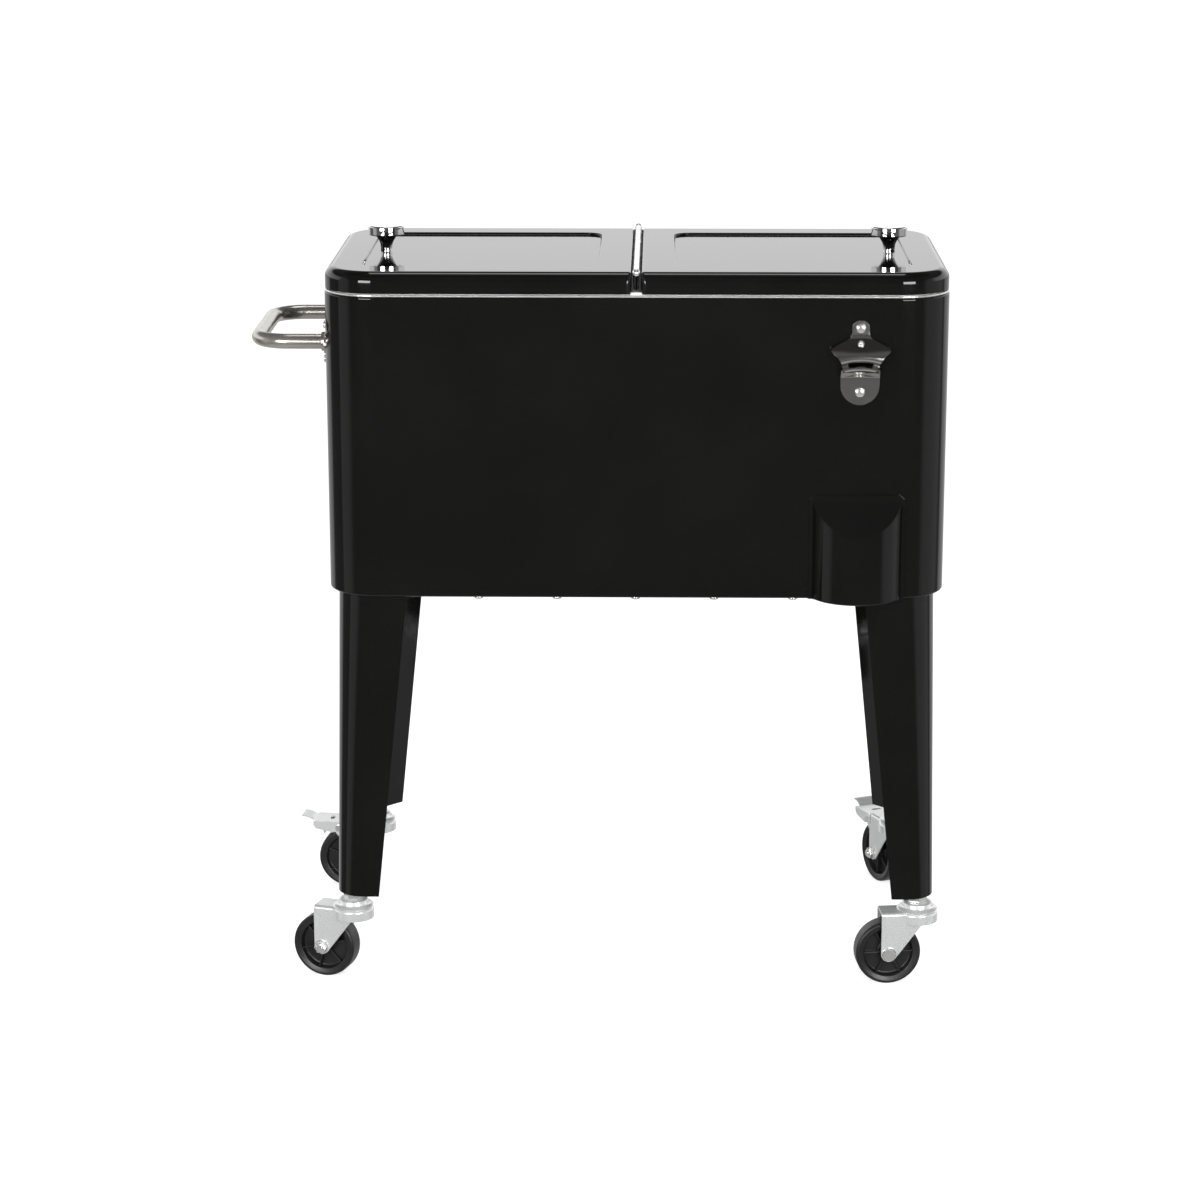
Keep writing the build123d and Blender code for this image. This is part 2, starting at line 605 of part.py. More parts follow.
# Push handle: one bent tube, level, with a flange at each end
with BuildPart() as push_handle:
    reach = -HALF_LENGTH - HANDLE_REACH
    wall = -HALF_LENGTH - 2.0
    with BuildLine(level(HANDLE_Z)) as handle_path:
        FilletPolyline((wall, -HANDLE_HALF_SPAN), (reach, -HANDLE_HALF_SPAN),
                       (reach, HANDLE_HALF_SPAN), (wall, HANDLE_HALF_SPAN), radius=HANDLE_BEND)
    with BuildSketch(shifted(facing_left(-HALF_LENGTH - 2.0), HANDLE_HALF_SPAN, HANDLE_Z)):
        Circle(HANDLE_R)
        Circle(HANDLE_R - 1.2, mode=Mode.SUBTRACT)
    sweep(path=handle_path.line)
save(push_handle, "push_handle")

with BuildPart() as handle_flanges:
    for side in (-1, 1):
        plane = shifted(left_wall, side * HANDLE_HALF_SPAN, HANDLE_Z)
        with BuildSketch(plane):
            SlotOverall(2 * FLANGE_SCREW_RISE + 16.0, 20.0, rotation=90)
        extrude(amount=2.0)
        with BuildSketch(plane):
            Circle(HANDLE_R + 2.2)
            Circle(HANDLE_R + 0.05, mode=Mode.SUBTRACT)
        extrude(amount=6.5)
        with BuildSketch(plane):
            with Locations((0, FLANGE_SCREW_RISE), (0, -FLANGE_SCREW_RISE)):
                Circle(WALL_SCREW_R + 0.1)
        extrude(amount=2.0, mode=Mode.SUBTRACT)
save(handle_flanges, "handle_flanges")

handle_screws = pan_head_screws(handle_screw_planes, 4.2, 2.6, WALL_SCREW_R, WALL_SCREW_LENGTH)
save(handle_screws, "handle_screws")

# Drain: spout through the floor, lock nut under the panel, screw cap
with BuildPart() as drain_spout:
    with BuildSketch(level(DRAIN_END)):
        with Locations((DRAIN_X, DRAIN_Y)):
            Circle(DRAIN_R)
    extrude(amount=DRAIN_SEAT - DRAIN_END)
    with BuildSketch(level(DRAIN_SEAT)):
        with Locations((DRAIN_X, DRAIN_Y)):
            Circle(DRAIN_FLANGE_R)
    extrude(amount=DRAIN_FLANGE, taper=20)
    with BuildSketch(level(DRAIN_END)):
        with Locations((DRAIN_X, DRAIN_Y)):
            Circle(DRAIN_BORE_R)
    extrude(amount=TUB_FLOOR + 10.0 - DRAIN_END, mode=Mode.SUBTRACT)
save(drain_spout, "drain_spout")

with BuildPart() as drain_nut:
    with BuildSketch(level(BOX_BOTTOM + SHEET)):
        with Locations((DRAIN_X, DRAIN_Y)):
            RegularPolygon(19.0, 6)
            Circle(DRAIN_R + 0.05, mode=Mode.SUBTRACT)
    extrude(amount=-7.0)
save(drain_nut, "drain_nut")

CAP_TOP = 418.0
CAP_BOTTOM = DRAIN_END - 2.6
with BuildPart() as drain_cap:
    with BuildSketch(level(CAP_BOTTOM)):
        with Locations((DRAIN_X, DRAIN_Y)):
            Circle(15.0)
    extrude(amount=CAP_TOP - CAP_BOTTOM)
    fillet(drain_cap.edges().group_by(Axis.Z)[0], 1.5)
    with BuildSketch(level(DRAIN_END - 0.3)):
        with Locations((DRAIN_X, DRAIN_Y)):
            Circle(DRAIN_R + 0.08)
    extrude(amount=CAP_TOP - DRAIN_END + 0.3, mode=Mode.SUBTRACT)
    with BuildSketch(level(CAP_BOTTOM)):
        with Locations((DRAIN_X, DRAIN_Y)):
            with PolarLocations(15.4, 18):
                Circle(0.9)
    extrude(amount=CAP_TOP - CAP_BOTTOM, mode=Mode.SUBTRACT)
save(drain_cap, "drain_cap")


# Legs: rounded outside, closed by a flat diagonal inside, tapering to the foot
def leg_outline(sx, sy, corner_x, corner_y, width, radius, wall):
    """Leg section, drawn in by wall, measured in from its outer corner."""
    far = width - wall * (1 + sqrt(2))
    inner_radius = radius - wall

    def at(a, b):
        return (sx * (corner_x - a), sy * (corner_y - b))

    diagonal = inner_radius * (1 - sqrt(0.5)) + wall
    with BuildLine() as outline:
        Line(at(radius, wall), at(far, wall))
        Line(at(far, wall), at(wall, far))
        Line(at(wall, far), at(wall, radius))
        ThreePointArc(at(wall, radius), at(diagonal, diagonal), at(radius, wall))
    make_face(outline.line)


def leg_corner(z):
    """Where the leg's outer corner stands at height z, how wide it is and its radius."""
    down = (BOX_BOTTOM - z) / (BOX_BOTTOM - LEG_FOOT)
    inset = LEG_TOP_INSET + (LEG_FOOT_INSET - LEG_TOP_INSET) * down
    width = LEG_TOP_WIDTH + (LEG_FOOT_WIDTH - LEG_TOP_WIDTH) * down
    radius = LEG_TOP_CORNER + (LEG_FOOT_CORNER - LEG_TOP_CORNER) * down
    return HALF_LENGTH - inset, HALF_DEPTH - inset, width, radius


def leg_body(sx, sy, wall, foot, top):
    """Solid of the leg between two heights, drawn in by wall."""
    with BuildPart() as body:
        for z in (foot, top):
            with BuildSketch(level(z)):
                leg_outline(sx, sy, *leg_corner(z), wall)
        loft(ruled=True)
        if wall == 0:
            folds = body.edges().filter_by(lambda edge: edge.length > 0.9 * (top - foot))
            inner = folds.sort_by(lambda edge: sx * edge.center().X + sy * edge.center().Y)
            sharp = [edge for edge in inner
                     if abs(abs(edge.center().X - CABINET_X) - abs(edge.center().Y - CABINET_Y)
                            - (STEM_X - STEM_Y)) > 25.0]
            fillet(sharp, 1.8)
    return body.part


def make_leg(name, sx, sy):
    outer = leg_body(sx, sy, 0, LEG_FOOT, BOX_BOTTOM)
    inner = leg_body(sx, sy, LEG_SHEET, LEG_FOOT, BOX_BOTTOM)
    corner_x, corner_y, width, radius = leg_corner(BOX_BOTTOM)
    with BuildPart() as leg:
        add(outer)
        add(inner, mode=Mode.SUBTRACT)
        # top plate, reaching inwards past the diagonal face for the bolts
        with BuildSketch(level(BOX_BOTTOM)):
            with BuildLine():
                Polyline((sx * (corner_x - radius), sy * (corner_y - 1.0)),
                         (sx * (corner_x - width - 8.0), sy * (corner_y - 8.0)),
                         (sx * (corner_x - width - 8.0), sy * (corner_y - 40.0)),
                         (sx * (corner_x - 64.0), sy * (corner_y - 64.0)),
                         (sx * (corner_x - 40.0), sy * (corner_y - width - 8.0)),
                         (sx * (corner_x - 8.0), sy * (corner_y - width - 8.0)),
                         (sx * (corner_x - 1.0), sy * (corner_y - radius)),
                         (sx * (corner_x - 16.0), sy * (corner_y - 16.0)), close=True)
            make_face()
        extrude(amount=-LEG_PLATE)
        with BuildSketch(level(BOX_BOTTOM)):
            with Locations(*[(sx * (corner_x - a), sy * (corner_y - b)) for a, b in LEG_BOLTS]):
                Circle(LEG_BOLT_R + 0.1)
        extrude(amount=-LEG_PLATE, mode=Mode.SUBTRACT)
    save(leg, name + "_leg")


for leg_name, (sx, sy, trail_angle, braked) in CASTERS.items():
    make_leg(leg_name, sx, sy)

with BuildPart() as leg_bolts:
    for x, y in leg_bolt_places:
        with BuildSketch(level(BOX_BOTTOM - LEG_PLATE)):
            with Locations((x, y)):
                RegularPolygon(5.8, 6)
        extrude(amount=-4.0)
        with BuildSketch(level(BOX_BOTTOM - LEG_PLATE)):
            with Locations((x, y)):
                Circle(LEG_BOLT_R)
        extrude(amount=LEG_PLATE + 10.0)
save(leg_bolts, "leg_bolts")

# Threaded plates that close the legs' feet
SOCKET_THICK = 4.0
with BuildPart() as leg_sockets:
    for sx, sy, trail_angle, braked in CASTERS.values():
        add(leg_body(sx, sy, LEG_SHEET + 0.05, LEG_FOOT, LEG_FOOT + SOCKET_THICK))
    with BuildSketch(level(LEG_FOOT + SOCKET_THICK)):
        with Locations(*[(sx * STEM_X, sy * STEM_Y) for sx, sy, a, b in CASTERS.values()]):
            Circle(7.6)
    extrude(amount=14.0)
    with BuildSketch(level(LEG_FOOT)):
        with Locations(*[(sx * STEM_X, sy * STEM_Y) for sx, sy, a, b in CASTERS.values()]):
            Circle(5.05)
    extrude(amount=SOCKET_THICK + 14.0, mode=Mode.SUBTRACT)
save(leg_sockets, "leg_sockets")

# Caster stems: threaded stem, race cup and king pin with its rivet head
RACE_BOTTOM = CROWN_TOP + 0.3
STEM_PROFILE = (
    (0, 74.0), (9.0, 74.0), (9.0, 76.5), (7.5, 78.2), (KING_PIN_R, 78.2), (KING_PIN_R, RACE_BOTTOM),
    (20.5, RACE_BOTTOM), (CROWN_R, RACE_BOTTOM + 0.8), (20.5, RACE_BOTTOM + 2.0), (18.0, 84.0),
    (16.0, 87.0), (15.6, 89.4), (12.0, 90.0), (5.0, 90.0), (5.0, 116.0), (0, 116.0),
)
with BuildPart() as caster_stems:
    for sx, sy, trail_angle, braked in CASTERS.values():
        foot = (CABINET_X + sx * STEM_X, CABINET_Y + sy * STEM_Y, 0)
        with BuildSketch(Plane(origin=foot, x_dir=(1, 0, 0), z_dir=(0, -1, 0))):
            with BuildLine():
                Polyline(*STEM_PROFILE, close=True)
            make_face()
        revolve(axis=Axis(foot, (0, 0, 1)))
save(caster_stems, "caster_stems")

with BuildPart() as stem_nuts:
    with BuildSketch(level(90.0)):
        with Locations(*[(sx * STEM_X, sy * STEM_Y) for sx, sy, a, b in CASTERS.values()]):
            RegularPolygon(10.5, 6)
            Circle(5.05, mode=Mode.SUBTRACT)
    extrude(amount=LEG_FOOT - 90.0)
save(stem_nuts, "stem_nuts")

# Outline of the fork's side plate, out along the trail and up
FORK_TOP = CROWN_TOP - FORK_SHEET
FORK_OUTER = FORK_HALF_GAP + FORK_SHEET


def tangent_point(centre, radius, point, hand):
    """Where the line from a point just touches a circle, on the chosen hand."""
    gap = point - centre
    along = radius * radius / (gap.length * gap.length)
    aside = radius * sqrt(gap.length ** 2 - radius ** 2) / (gap.length * gap.length)
    return centre + gap * along + Vector(-gap.Y, gap.X) * aside * hand


def fork_side(braked):
    """Side plate: upright at the trailing edge, rounded at the axle, slanting back to the stem."""
    eye = Vector(TRAIL, WHEEL_R)
    eye_r = 8.5
    heel = Vector(-2.0, 66.0)
    touch = tangent_point(eye, eye_r, heel, 1)
    with BuildLine() as outline:
        if braked:
            # ear for the lever's pin, kept below the lever
            Polyline((eye.X + eye_r, eye.Y), (eye.X + eye_r, 60.0), (BRAKE_U + 4.8, 67.0),
                     (BRAKE_U + 4.8, BRAKE_Z + 2.3), (BRAKE_U + 2.5, BRAKE_Z + 4.6),
                     (CROWN_REACH - 2.5, BRAKE_Z + 4.6), (CROWN_REACH - 2.5, CROWN_TOP), (-12.0, CROWN_TOP))
        else:
            Polyline((eye.X + eye_r, eye.Y), (eye.X + eye_r, CROWN_TOP), (-12.0, CROWN_TOP))
        Polyline((-12.0, CROWN_TOP), (-12.0, 68.5), (heel.X, heel.Y), (touch.X, touch.Y))
        ThreePointArc((touch.X, touch.Y), (eye.X + 1.0, eye.Y - sqrt(eye_r ** 2 - 1.0)),
                      (eye.X + eye_r, eye.Y))
    make_face(outline.line)


def make_caster(name, sx, sy, angle, braked):
    foot = Vector(CABINET_X + sx * STEM_X, CABINET_Y + sy * STEM_Y, 0)
    along = Vector(cos(radians(angle)), sin(radians(angle)), 0)
    aside = Vector(along.Y, -along.X, 0)

    def deck(z):
        """Level plane on the stem, its first axis along the trail."""
        return Plane(origin=foot + Vector(0, 0, z), x_dir=along, z_dir=(0, 0, 1))

    def cheek(v):
        """Upright plane along the trail, v to one side of the stem."""
        return Plane(origin=foot + aside * v, x_dir=along, z_dir=aside)

    crown_reach = CROWN_REACH - 2.5 if braked else CROWN_REACH
    with BuildPart() as fork:
        with BuildSketch(deck(FORK_TOP)):
            Circle(CROWN_R)
            with Locations((crown_reach / 2, 0)):
                Rectangle(crown_reach, 2 * FORK_OUTER)
        extrude(amount=FORK_SHEET)
        # skirt round the leading end of the crown
        with BuildSketch(deck(69.0)):
            Circle(CROWN_R)
            Circle(CROWN_R - FORK_SHEET, mode=Mode.SUBTRACT)
            with Locations((CROWN_R - 5.0, 0)):
                Rectangle(2 * CROWN_R, 2 * CROWN_R, mode=Mode.SUBTRACT)
        extrude(amount=FORK_TOP - 69.0)
        for v in (-FORK_OUTER, FORK_HALF_GAP):
            with BuildSketch(cheek(v)):
                fork_side(braked)
            extrude(amount=FORK_SHEET)
        with BuildSketch(deck(FORK_TOP)):
            Circle(KING_BORE_R)
        extrude(amount=FORK_SHEET, mode=Mode.SUBTRACT)
        with BuildSketch(cheek(-FORK_OUTER)):
            with Locations((TRAIL, WHEEL_R)):
                Circle(AXLE_R + 0.05)
            if braked:
                with Locations((BRAKE_U, BRAKE_Z)):
                    Circle(BRAKE_BORE_R)
        extrude(amount=2 * FORK_OUTER, mode=Mode.SUBTRACT)
    save(fork, name + "_fork")

    nut_side = NUT_SIDE[name]
    with BuildPart() as axle:
        with BuildSketch(cheek(-nut_side * FORK_OUTER)):
            with Locations((TRAIL, WHEEL_R)):
                RegularPolygon(6.6, 6, rotation=15)
        extrude(amount=-nut_side * 4.5)
        with BuildSketch(cheek(-nut_side * FORK_OUTER)):
            with Locations((TRAIL, WHEEL_R)):
                Circle(AXLE_R)
        extrude(amount=nut_side * (2 * FORK_OUTER + 8.0))
        with BuildSketch(cheek(nut_side * FORK_OUTER)):
            with Locations((TRAIL, WHEEL_R)):
                RegularPolygon(6.6, 6)
                Circle(AXLE_R + 0.05, mode=Mode.SUBTRACT)
        extrude(amount=nut_side * 6.0)
    save(axle, name + "_axle")

    hub_r = 9.0
    ring_inner = 26.5
    with BuildPart() as wheel:
        with BuildSketch(cheek(0)):
            with Locations((TRAIL, WHEEL_R)):
                Circle(WHEEL_R)
        extrude(amount=WHEEL_WIDTH / 2, both=True)
        fillet(wheel.edges(), 3.0)
        for v, hand in ((2.5, 1), (-2.5, -1)):
            with BuildSketch(cheek(v)):
                with Locations((TRAIL, WHEEL_R)):
                    Circle(ring_inner)
                    Circle(hub_r, mode=Mode.SUBTRACT)
            extrude(amount=hand * WHEEL_WIDTH, mode=Mode.SUBTRACT)
        with BuildSketch(cheek(0)):
            with Locations((TRAIL, WHEEL_R)):
                with PolarLocations((hub_r + ring_inner) / 2, 6, start_angle=20):
                    Rectangle(ring_inner - hub_r + 1.0, 1.8)
        extrude(amount=WHEEL_WIDTH / 2 - 3.5, both=True)
        with BuildSketch(cheek(0)):
            with Locations((TRAIL, WHEEL_R)):
                Circle(hub_r)
        extrude(amount=FORK_HALF_GAP - 0.4, both=True)
        with BuildSketch(cheek(0)):
            with Locations((TRAIL, WHEEL_R)):
                Circle(AXLE_BORE_R)
        extrude(amount=WHEEL_WIDTH, both=True, mode=Mode.SUBTRACT)
    save(wheel, name + "_wheel")

    if braked:
        make_brake(name, deck, cheek)


def make_brake(name, deck, cheek):
    """Foot lever over the wheel: a channel on a pin, a turned-up tab and a shoe under it."""
    sheet = 1.6
    inner = FORK_OUTER + 0.5
    outer = inner + sheet
    roof = CROWN_TOP - 0.6
    start = BRAKE_U - 3.0
    end = 72.0
    with BuildPart() as lever:
        with BuildSketch(deck(roof - sheet)):
            with Locations(((start + end) / 2, 0)):
                Rectangle(end - start, 2 * outer)
        extrude(amount=sheet)
        for v in (-outer, inner):
            with BuildSketch(cheek(v)):
                with BuildLine():
                    Polyline((start, roof), (start, 69.5), (50.0, 67.5), (end - 3.0, 71.5),
                             (end, 75.0), (end, roof), close=True)
                make_face()
            extrude(amount=sheet)
        # turned-up tab for the toe
        with BuildSketch(cheek(-11.0)):
            with BuildLine():
                Line((end - 2.0, roof - sheet), (end, roof - sheet))
                ThreePointArc((end, roof - sheet), (79.2, 82.7), (86.8, 83.9))
                Line((86.8, 83.9), (86.6, 85.5))
                ThreePointArc((86.6, 85.5), (78.4, 84.2), (end - 0.8, roof))
                Line((end - 0.8, roof), (end - 2.0, roof))
                Line((end - 2.0, roof), (end - 2.0, roof - sheet))
            make_face()
        extrude(amount=22.0)
        # shoe, a tongue bent down towards the tread
        with BuildSketch(cheek(-8.0)):
            with BuildLine():
                Polyline((63.0, roof - sheet), (60.0, 63.5), (61.6, 62.8), (65.0, roof - sheet),
                         close=True)
            make_face()
        extrude(amount=16.0)
        with BuildSketch(cheek(-outer)):
            with Locations((BRAKE_U, BRAKE_Z)):
                Circle(BRAKE_BORE_R)
        extrude(amount=2 * outer, mode=Mode.SUBTRACT)
        with BuildSketch(deck(roof - sheet)):
            with Locations((52.0, 0)):
                SlotOverall(12.0, 5.0, rotation=90)
        extrude(amount=sheet, mode=Mode.SUBTRACT)
    save(lever, name + "_brake_lever")

    with BuildPart() as pin:
        with BuildSketch(cheek(-outer - 0.2)):
            with Locations((BRAKE_U, BRAKE_Z)):
                Circle(BRAKE_PIN_R)
        extrude(amount=2 * outer + 0.4)
        for v, height in ((-outer - 0.2, -1.4), (outer + 0.2, 1.4)):
            with BuildSketch(cheek(v)):
                with Locations((BRAKE_U, BRAKE_Z)):
                    Circle(3.6)
            extrude(amount=height)
    save(pin, name + "_brake_pin")


for caster_name, (sx, sy, trail_angle, braked) in CASTERS.items():
    make_caster(caster_name, sx, sy, trail_angle, braked)
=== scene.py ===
from math import atan2, cos, pi, radians, sin

import bmesh
import bpy
from mathutils import Matrix, Vector


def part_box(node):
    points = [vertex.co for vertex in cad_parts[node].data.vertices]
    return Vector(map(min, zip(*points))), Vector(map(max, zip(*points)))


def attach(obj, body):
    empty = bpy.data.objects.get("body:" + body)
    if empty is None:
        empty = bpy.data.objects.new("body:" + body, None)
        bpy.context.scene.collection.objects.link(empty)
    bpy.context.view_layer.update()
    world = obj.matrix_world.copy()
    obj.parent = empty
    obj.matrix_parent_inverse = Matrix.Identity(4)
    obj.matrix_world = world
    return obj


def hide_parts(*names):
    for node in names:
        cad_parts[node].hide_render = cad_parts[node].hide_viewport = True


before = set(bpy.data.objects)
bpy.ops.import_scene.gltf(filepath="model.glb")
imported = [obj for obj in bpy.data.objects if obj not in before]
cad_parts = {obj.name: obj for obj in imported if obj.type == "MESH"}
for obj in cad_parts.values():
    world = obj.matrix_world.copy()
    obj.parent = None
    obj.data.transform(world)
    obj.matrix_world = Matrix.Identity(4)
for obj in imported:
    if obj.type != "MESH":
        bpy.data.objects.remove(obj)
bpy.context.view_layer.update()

# ---------------------------------------------------------------- sizes
# The centre is in metres. All other sizes are in millimetres, from the cabinet's middle and the floor.
MM = 0.001
shell_low, shell_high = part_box("cabinet_shell")
CENTRE_X = (shell_low[0] + shell_high[0]) / 2
CENTRE_Y = (shell_low[1] + shell_high[1]) / 2
BOX_BOTTOM = 429
SHELL_TOP = shell_high[2] / MM
HALF_LENGTH = 323.5
HALF_DEPTH = 169.5
CORNER = 55
TRIM_BOTTOM = 744.8
TRIM_TOP = 747
TUB_TOP = 749.5
LID_BOTTOM = 748
LID_TOP = 770
HINGE_Z = 770.5
KNUCKLE = 35.5
KNOB_X = 268
OPENER_X = 229.5
CATCHER_FACE = 170.7
HANDLE_Z = 686
HANDLE_Y = 94
STEM_X = 303
STEM_Y = 149
TRAIL = 32
WHEEL_R = 35
LEG_FOOT = 96.5
TUB_FLOOR = 454.5
TUB_UNDERSIDE = 452


# ---------------------------------------------------------------- ways of working
def pick_nothing():
    bpy.ops.object.select_all(action="DESELECT")


def pick_only(piece):
    """Selects one object and nothing else."""
    if bpy.context.object and bpy.context.object.mode != "OBJECT":
        bpy.ops.object.mode_set(mode="OBJECT")
    pick_nothing()
    piece.select_set(True)
    bpy.context.view_layer.objects.active = piece


def edit(piece):
    pick_only(piece)
    bpy.ops.object.mode_set(mode="EDIT")


def done():
    bpy.ops.object.mode_set(mode="OBJECT")


def choose(piece, kind, test):
    """In edit mode, selects only the vertices, edges or faces that pass the test."""
    bpy.ops.mesh.select_mode(type=kind)
    bpy.ops.mesh.select_all(action="DESELECT")
    shape = bmesh.from_edit_mesh(piece.data)
    for item in {"VERT": shape.verts, "EDGE": shape.edges, "FACE": shape.faces}[kind]:
        if test(item):
            item.select_set(True)
    shape.select_flush_mode()
    bmesh.update_edit_mesh(piece.data)


def named(name):
    """Names the object that was just added."""
    piece = bpy.context.object
    piece.name = piece.data.name = name
    return piece


def draw_out(x, y, z):
    """In edit mode, extrudes what is selected and moves it, in metres."""
    bpy.ops.mesh.extrude_region_move(TRANSFORM_OT_translate={"value": (x, y, z)})


def widen(x, y, z, centre):
    """In edit mode, scales what is selected from a centre."""
    bpy.ops.transform.resize(value=(x, y, z), center_override=centre)


def draw_in(width):
    """In edit mode, insets the selected faces by a width in millimetres."""
    bpy.ops.mesh.inset(thickness=width * MM, depth=0)


def drop_faces(piece, test):
    """In edit mode, deletes the faces that pass the test."""
    choose(piece, "FACE", test)
    bpy.ops.mesh.delete(type="FACE")


def flip(axis):
    """In edit mode, mirrors the whole piece across the cabinet's middle: 0 is along X, 1 along Y."""
    bpy.ops.mesh.select_all(action="SELECT")
    bpy.ops.transform.mirror(orient_type="GLOBAL", constraint_axis=(axis == 0, axis == 1, False),
                             center_override=at(0, 0, 0))
    bpy.ops.mesh.flip_normals()


def middle(edge):
    return (edge.verts[0].co + edge.verts[1].co) / 2


def upright(edge):
    a, b = edge.verts
    return abs(a.co.x - b.co.x) + abs(a.co.y - b.co.y) < 1e-6


def at(x, y, z=0):
    """A point in metres, from millimetres measured from the cabinet's middle and the floor."""
    return Vector((CENTRE_X + x * MM, CENTRE_Y + y * MM, z * MM))


def at_height(z):
    """Test for an edge or face that lies level at height z, in millimetres."""
    return lambda item: all(abs(vertex.co.z - z * MM) < 4e-6 for vertex in item.verts)


def settle(piece):
    """Puts a finished piece's place into its mesh."""
    pick_only(piece)
    bpy.ops.object.transform_apply(location=True, rotation=True, scale=True)


def block(name, low, high):
    """A box between two corners."""
    low, high = Vector(low), Vector(high)
    pick_nothing()
    bpy.ops.mesh.primitive_cube_add(size=1, location=(low + high) / 2)
    piece = named(name)
    piece.scale = high - low
    settle(piece)
    return piece


def plate(name, low, high, z):
    """A flat rectangle at height z."""
    pick_nothing()
    bpy.ops.mesh.primitive_plane_add(size=1, location=((low[0] + high[0]) / 2, (low[1] + high[1]) / 2, z))
    piece = named(name)
    piece.scale = (high[0] - low[0], high[1] - low[1], 1)
    settle(piece)
    return piece


def bevel(piece, kind, test, radius, steps):
    edit(piece)
    choose(piece, kind, test)
    bpy.ops.mesh.bevel(offset=radius, segments=steps, affect="EDGES" if kind == "EDGE" else "VERTICES")
    done()


def modify(piece, kind, **settings):
    """Adds a modifier, sets it and applies it."""
    pick_only(piece)
    bpy.ops.object.modifier_add(type=kind)
    modifier = piece.modifiers[-1]
    for key, value in settings.items():
        setattr(modifier, key, value)
    bpy.ops.object.modifier_apply(modifier=modifier.name)


def give_wall(piece, thickness):
    """Gives a bare sheet its thickness in millimetres, inwards."""
    modify(piece, "SOLIDIFY", thickness=thickness * MM, offset=-1.0, use_even_offset=True)


def split(piece, point, pointing):
    """Cuts a piece on a plane, drops what lies on the side it points to, and closes the cut."""
    edit(piece)
    bpy.ops.mesh.select_all(action="SELECT")
    bpy.ops.mesh.bisect(plane_co=point, plane_no=pointing, use_fill=True, clear_outer=True)
    done()


def cut(piece, cutter, operation="DIFFERENCE"):
    """Cuts one solid with another, which is used up."""
    modify(piece, "BOOLEAN", object=cutter, operation=operation, solver="EXACT")
    pick_only(cutter)
    bpy.ops.object.delete()


def face_outwards(piece):
    edit(piece)
    bpy.ops.mesh.select_all(action="SELECT")
    bpy.ops.mesh.remove_doubles(threshold=1e-6)
    bpy.ops.mesh.normals_make_consistent(inside=False)
    done()


def smooth(piece, angle=35):
    """Smooth shading that keeps the large flat faces flat."""
    pick_only(piece)
    if piece.data.has_custom_normals:
        bpy.ops.mesh.customdata_custom_splitnormals_clear()
    bpy.ops.object.shade_smooth_by_angle(angle=radians(angle))
    modify(piece, "WEIGHTED_NORMAL", mode="FACE_AREA", weight=50, keep_sharp=True)


def join(name, pieces):
    pick_only(pieces[0])
    for piece in pieces[1:]:
        piece.select_set(True)
    bpy.ops.object.join()
    pieces[0].name = pieces[0].data.name = name
    return pieces[0]


def turned(name, profile, sides=48, closed=False):
    """A turned piece on the Z axis: a ring is extruded and scaled along (radius, height) pairs.

    The pairs are in millimetres. A closed profile ends where it starts, and leaves a bore.
    """
    profile = [(radius * MM, height * MM) for radius, height in profile]
    radius, height = profile[0]
    pick_nothing()
    bpy.ops.mesh.primitive_circle_add(vertices=sides, radius=radius, location=(0, 0, height),
                                      fill_type="NOTHING" if closed else "NGON")
    piece = named(name)
    settle(piece)
    edit(piece)
    if closed:
        # an open ring has no face to select
        bpy.ops.mesh.select_mode(type="VERT")
    bpy.ops.mesh.select_all(action="SELECT")
    for next_radius, next_height in profile[1:]:
        draw_out(0, 0, next_height - height)
        factor = next_radius / radius
        widen(factor, factor, 1, (0, 0, next_height))
        radius, height = next_radius, next_height
    done()
    face_outwards(piece)
    return piece


def move(piece, spot=(0, 0, 0), axis="Z", turn=0.0, pointing=None):
    """Turns a piece about an axis, or points its Z axis somewhere, then moves it."""
    turning = Matrix.Rotation(turn, 4, axis)
    if pointing is not None:
        turning = Vector(pointing).to_track_quat("Z", "X").to_matrix().to_4x4() @ turning
    piece.matrix_world = Matrix.Translation(spot) @ turning
    settle(piece)
    return piece


def again(piece, name):
    """A copy with a mesh of its own."""
    pick_only(piece)
    bpy.ops.object.duplicate(linked=False)
    copy = bpy.context.object
    copy.name = copy.data.name = name
    return copy


def finish(piece, body, slot, paint, *nodes):
    """Rides a piece on its body and gives it its finish and the CAD nodes it stands for."""
    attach(piece, body)
    if nodes:
        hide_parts(*nodes)
    piece.data.materials.clear()
    piece.data.materials.append(paint)


# ---------------------------------------------------------------- finishes
def new_finish(name):
    paint = bpy.data.materials.new(name)
    paint.use_nodes = True
    tree = paint.node_tree
    return paint, tree.nodes, tree.links, tree.nodes["Principled BSDF"]


def fine_noise(nodes, links, scale, detail=3.0, stretch=(1, 1, 1)):
    """Noise fixed to the object, as fine as scale says, stretched along its axes."""
    place = nodes.new("ShaderNodeTexCoord")
    mapping = nodes.new("ShaderNodeMapping")
    mapping.inputs["Scale"].default_value = stretch
    noise = nodes.new("ShaderNodeTexNoise")
    noise.inputs["Scale"].default_value = scale
    noise.inputs["Detail"].default_value = detail
    links.new(place.outputs["Object"], mapping.inputs["Vector"])
    links.new(mapping.outputs["Vector"], noise.inputs["Vector"])
    return noise


def blend_colours(nodes, links, factor, low, high):
    ramp = nodes.new("ShaderNodeValToRGB")
    ramp.color_ramp.elements[0].color = (*low, 1)
    ramp.color_ramp.elements[1].color = (*high, 1)
    ramp.color_ramp.elements[0].position = 0.35
    ramp.color_ramp.elements[1].position = 0.65
    links.new(factor, ramp.inputs["Fac"])
    return ramp.outputs["Color"]


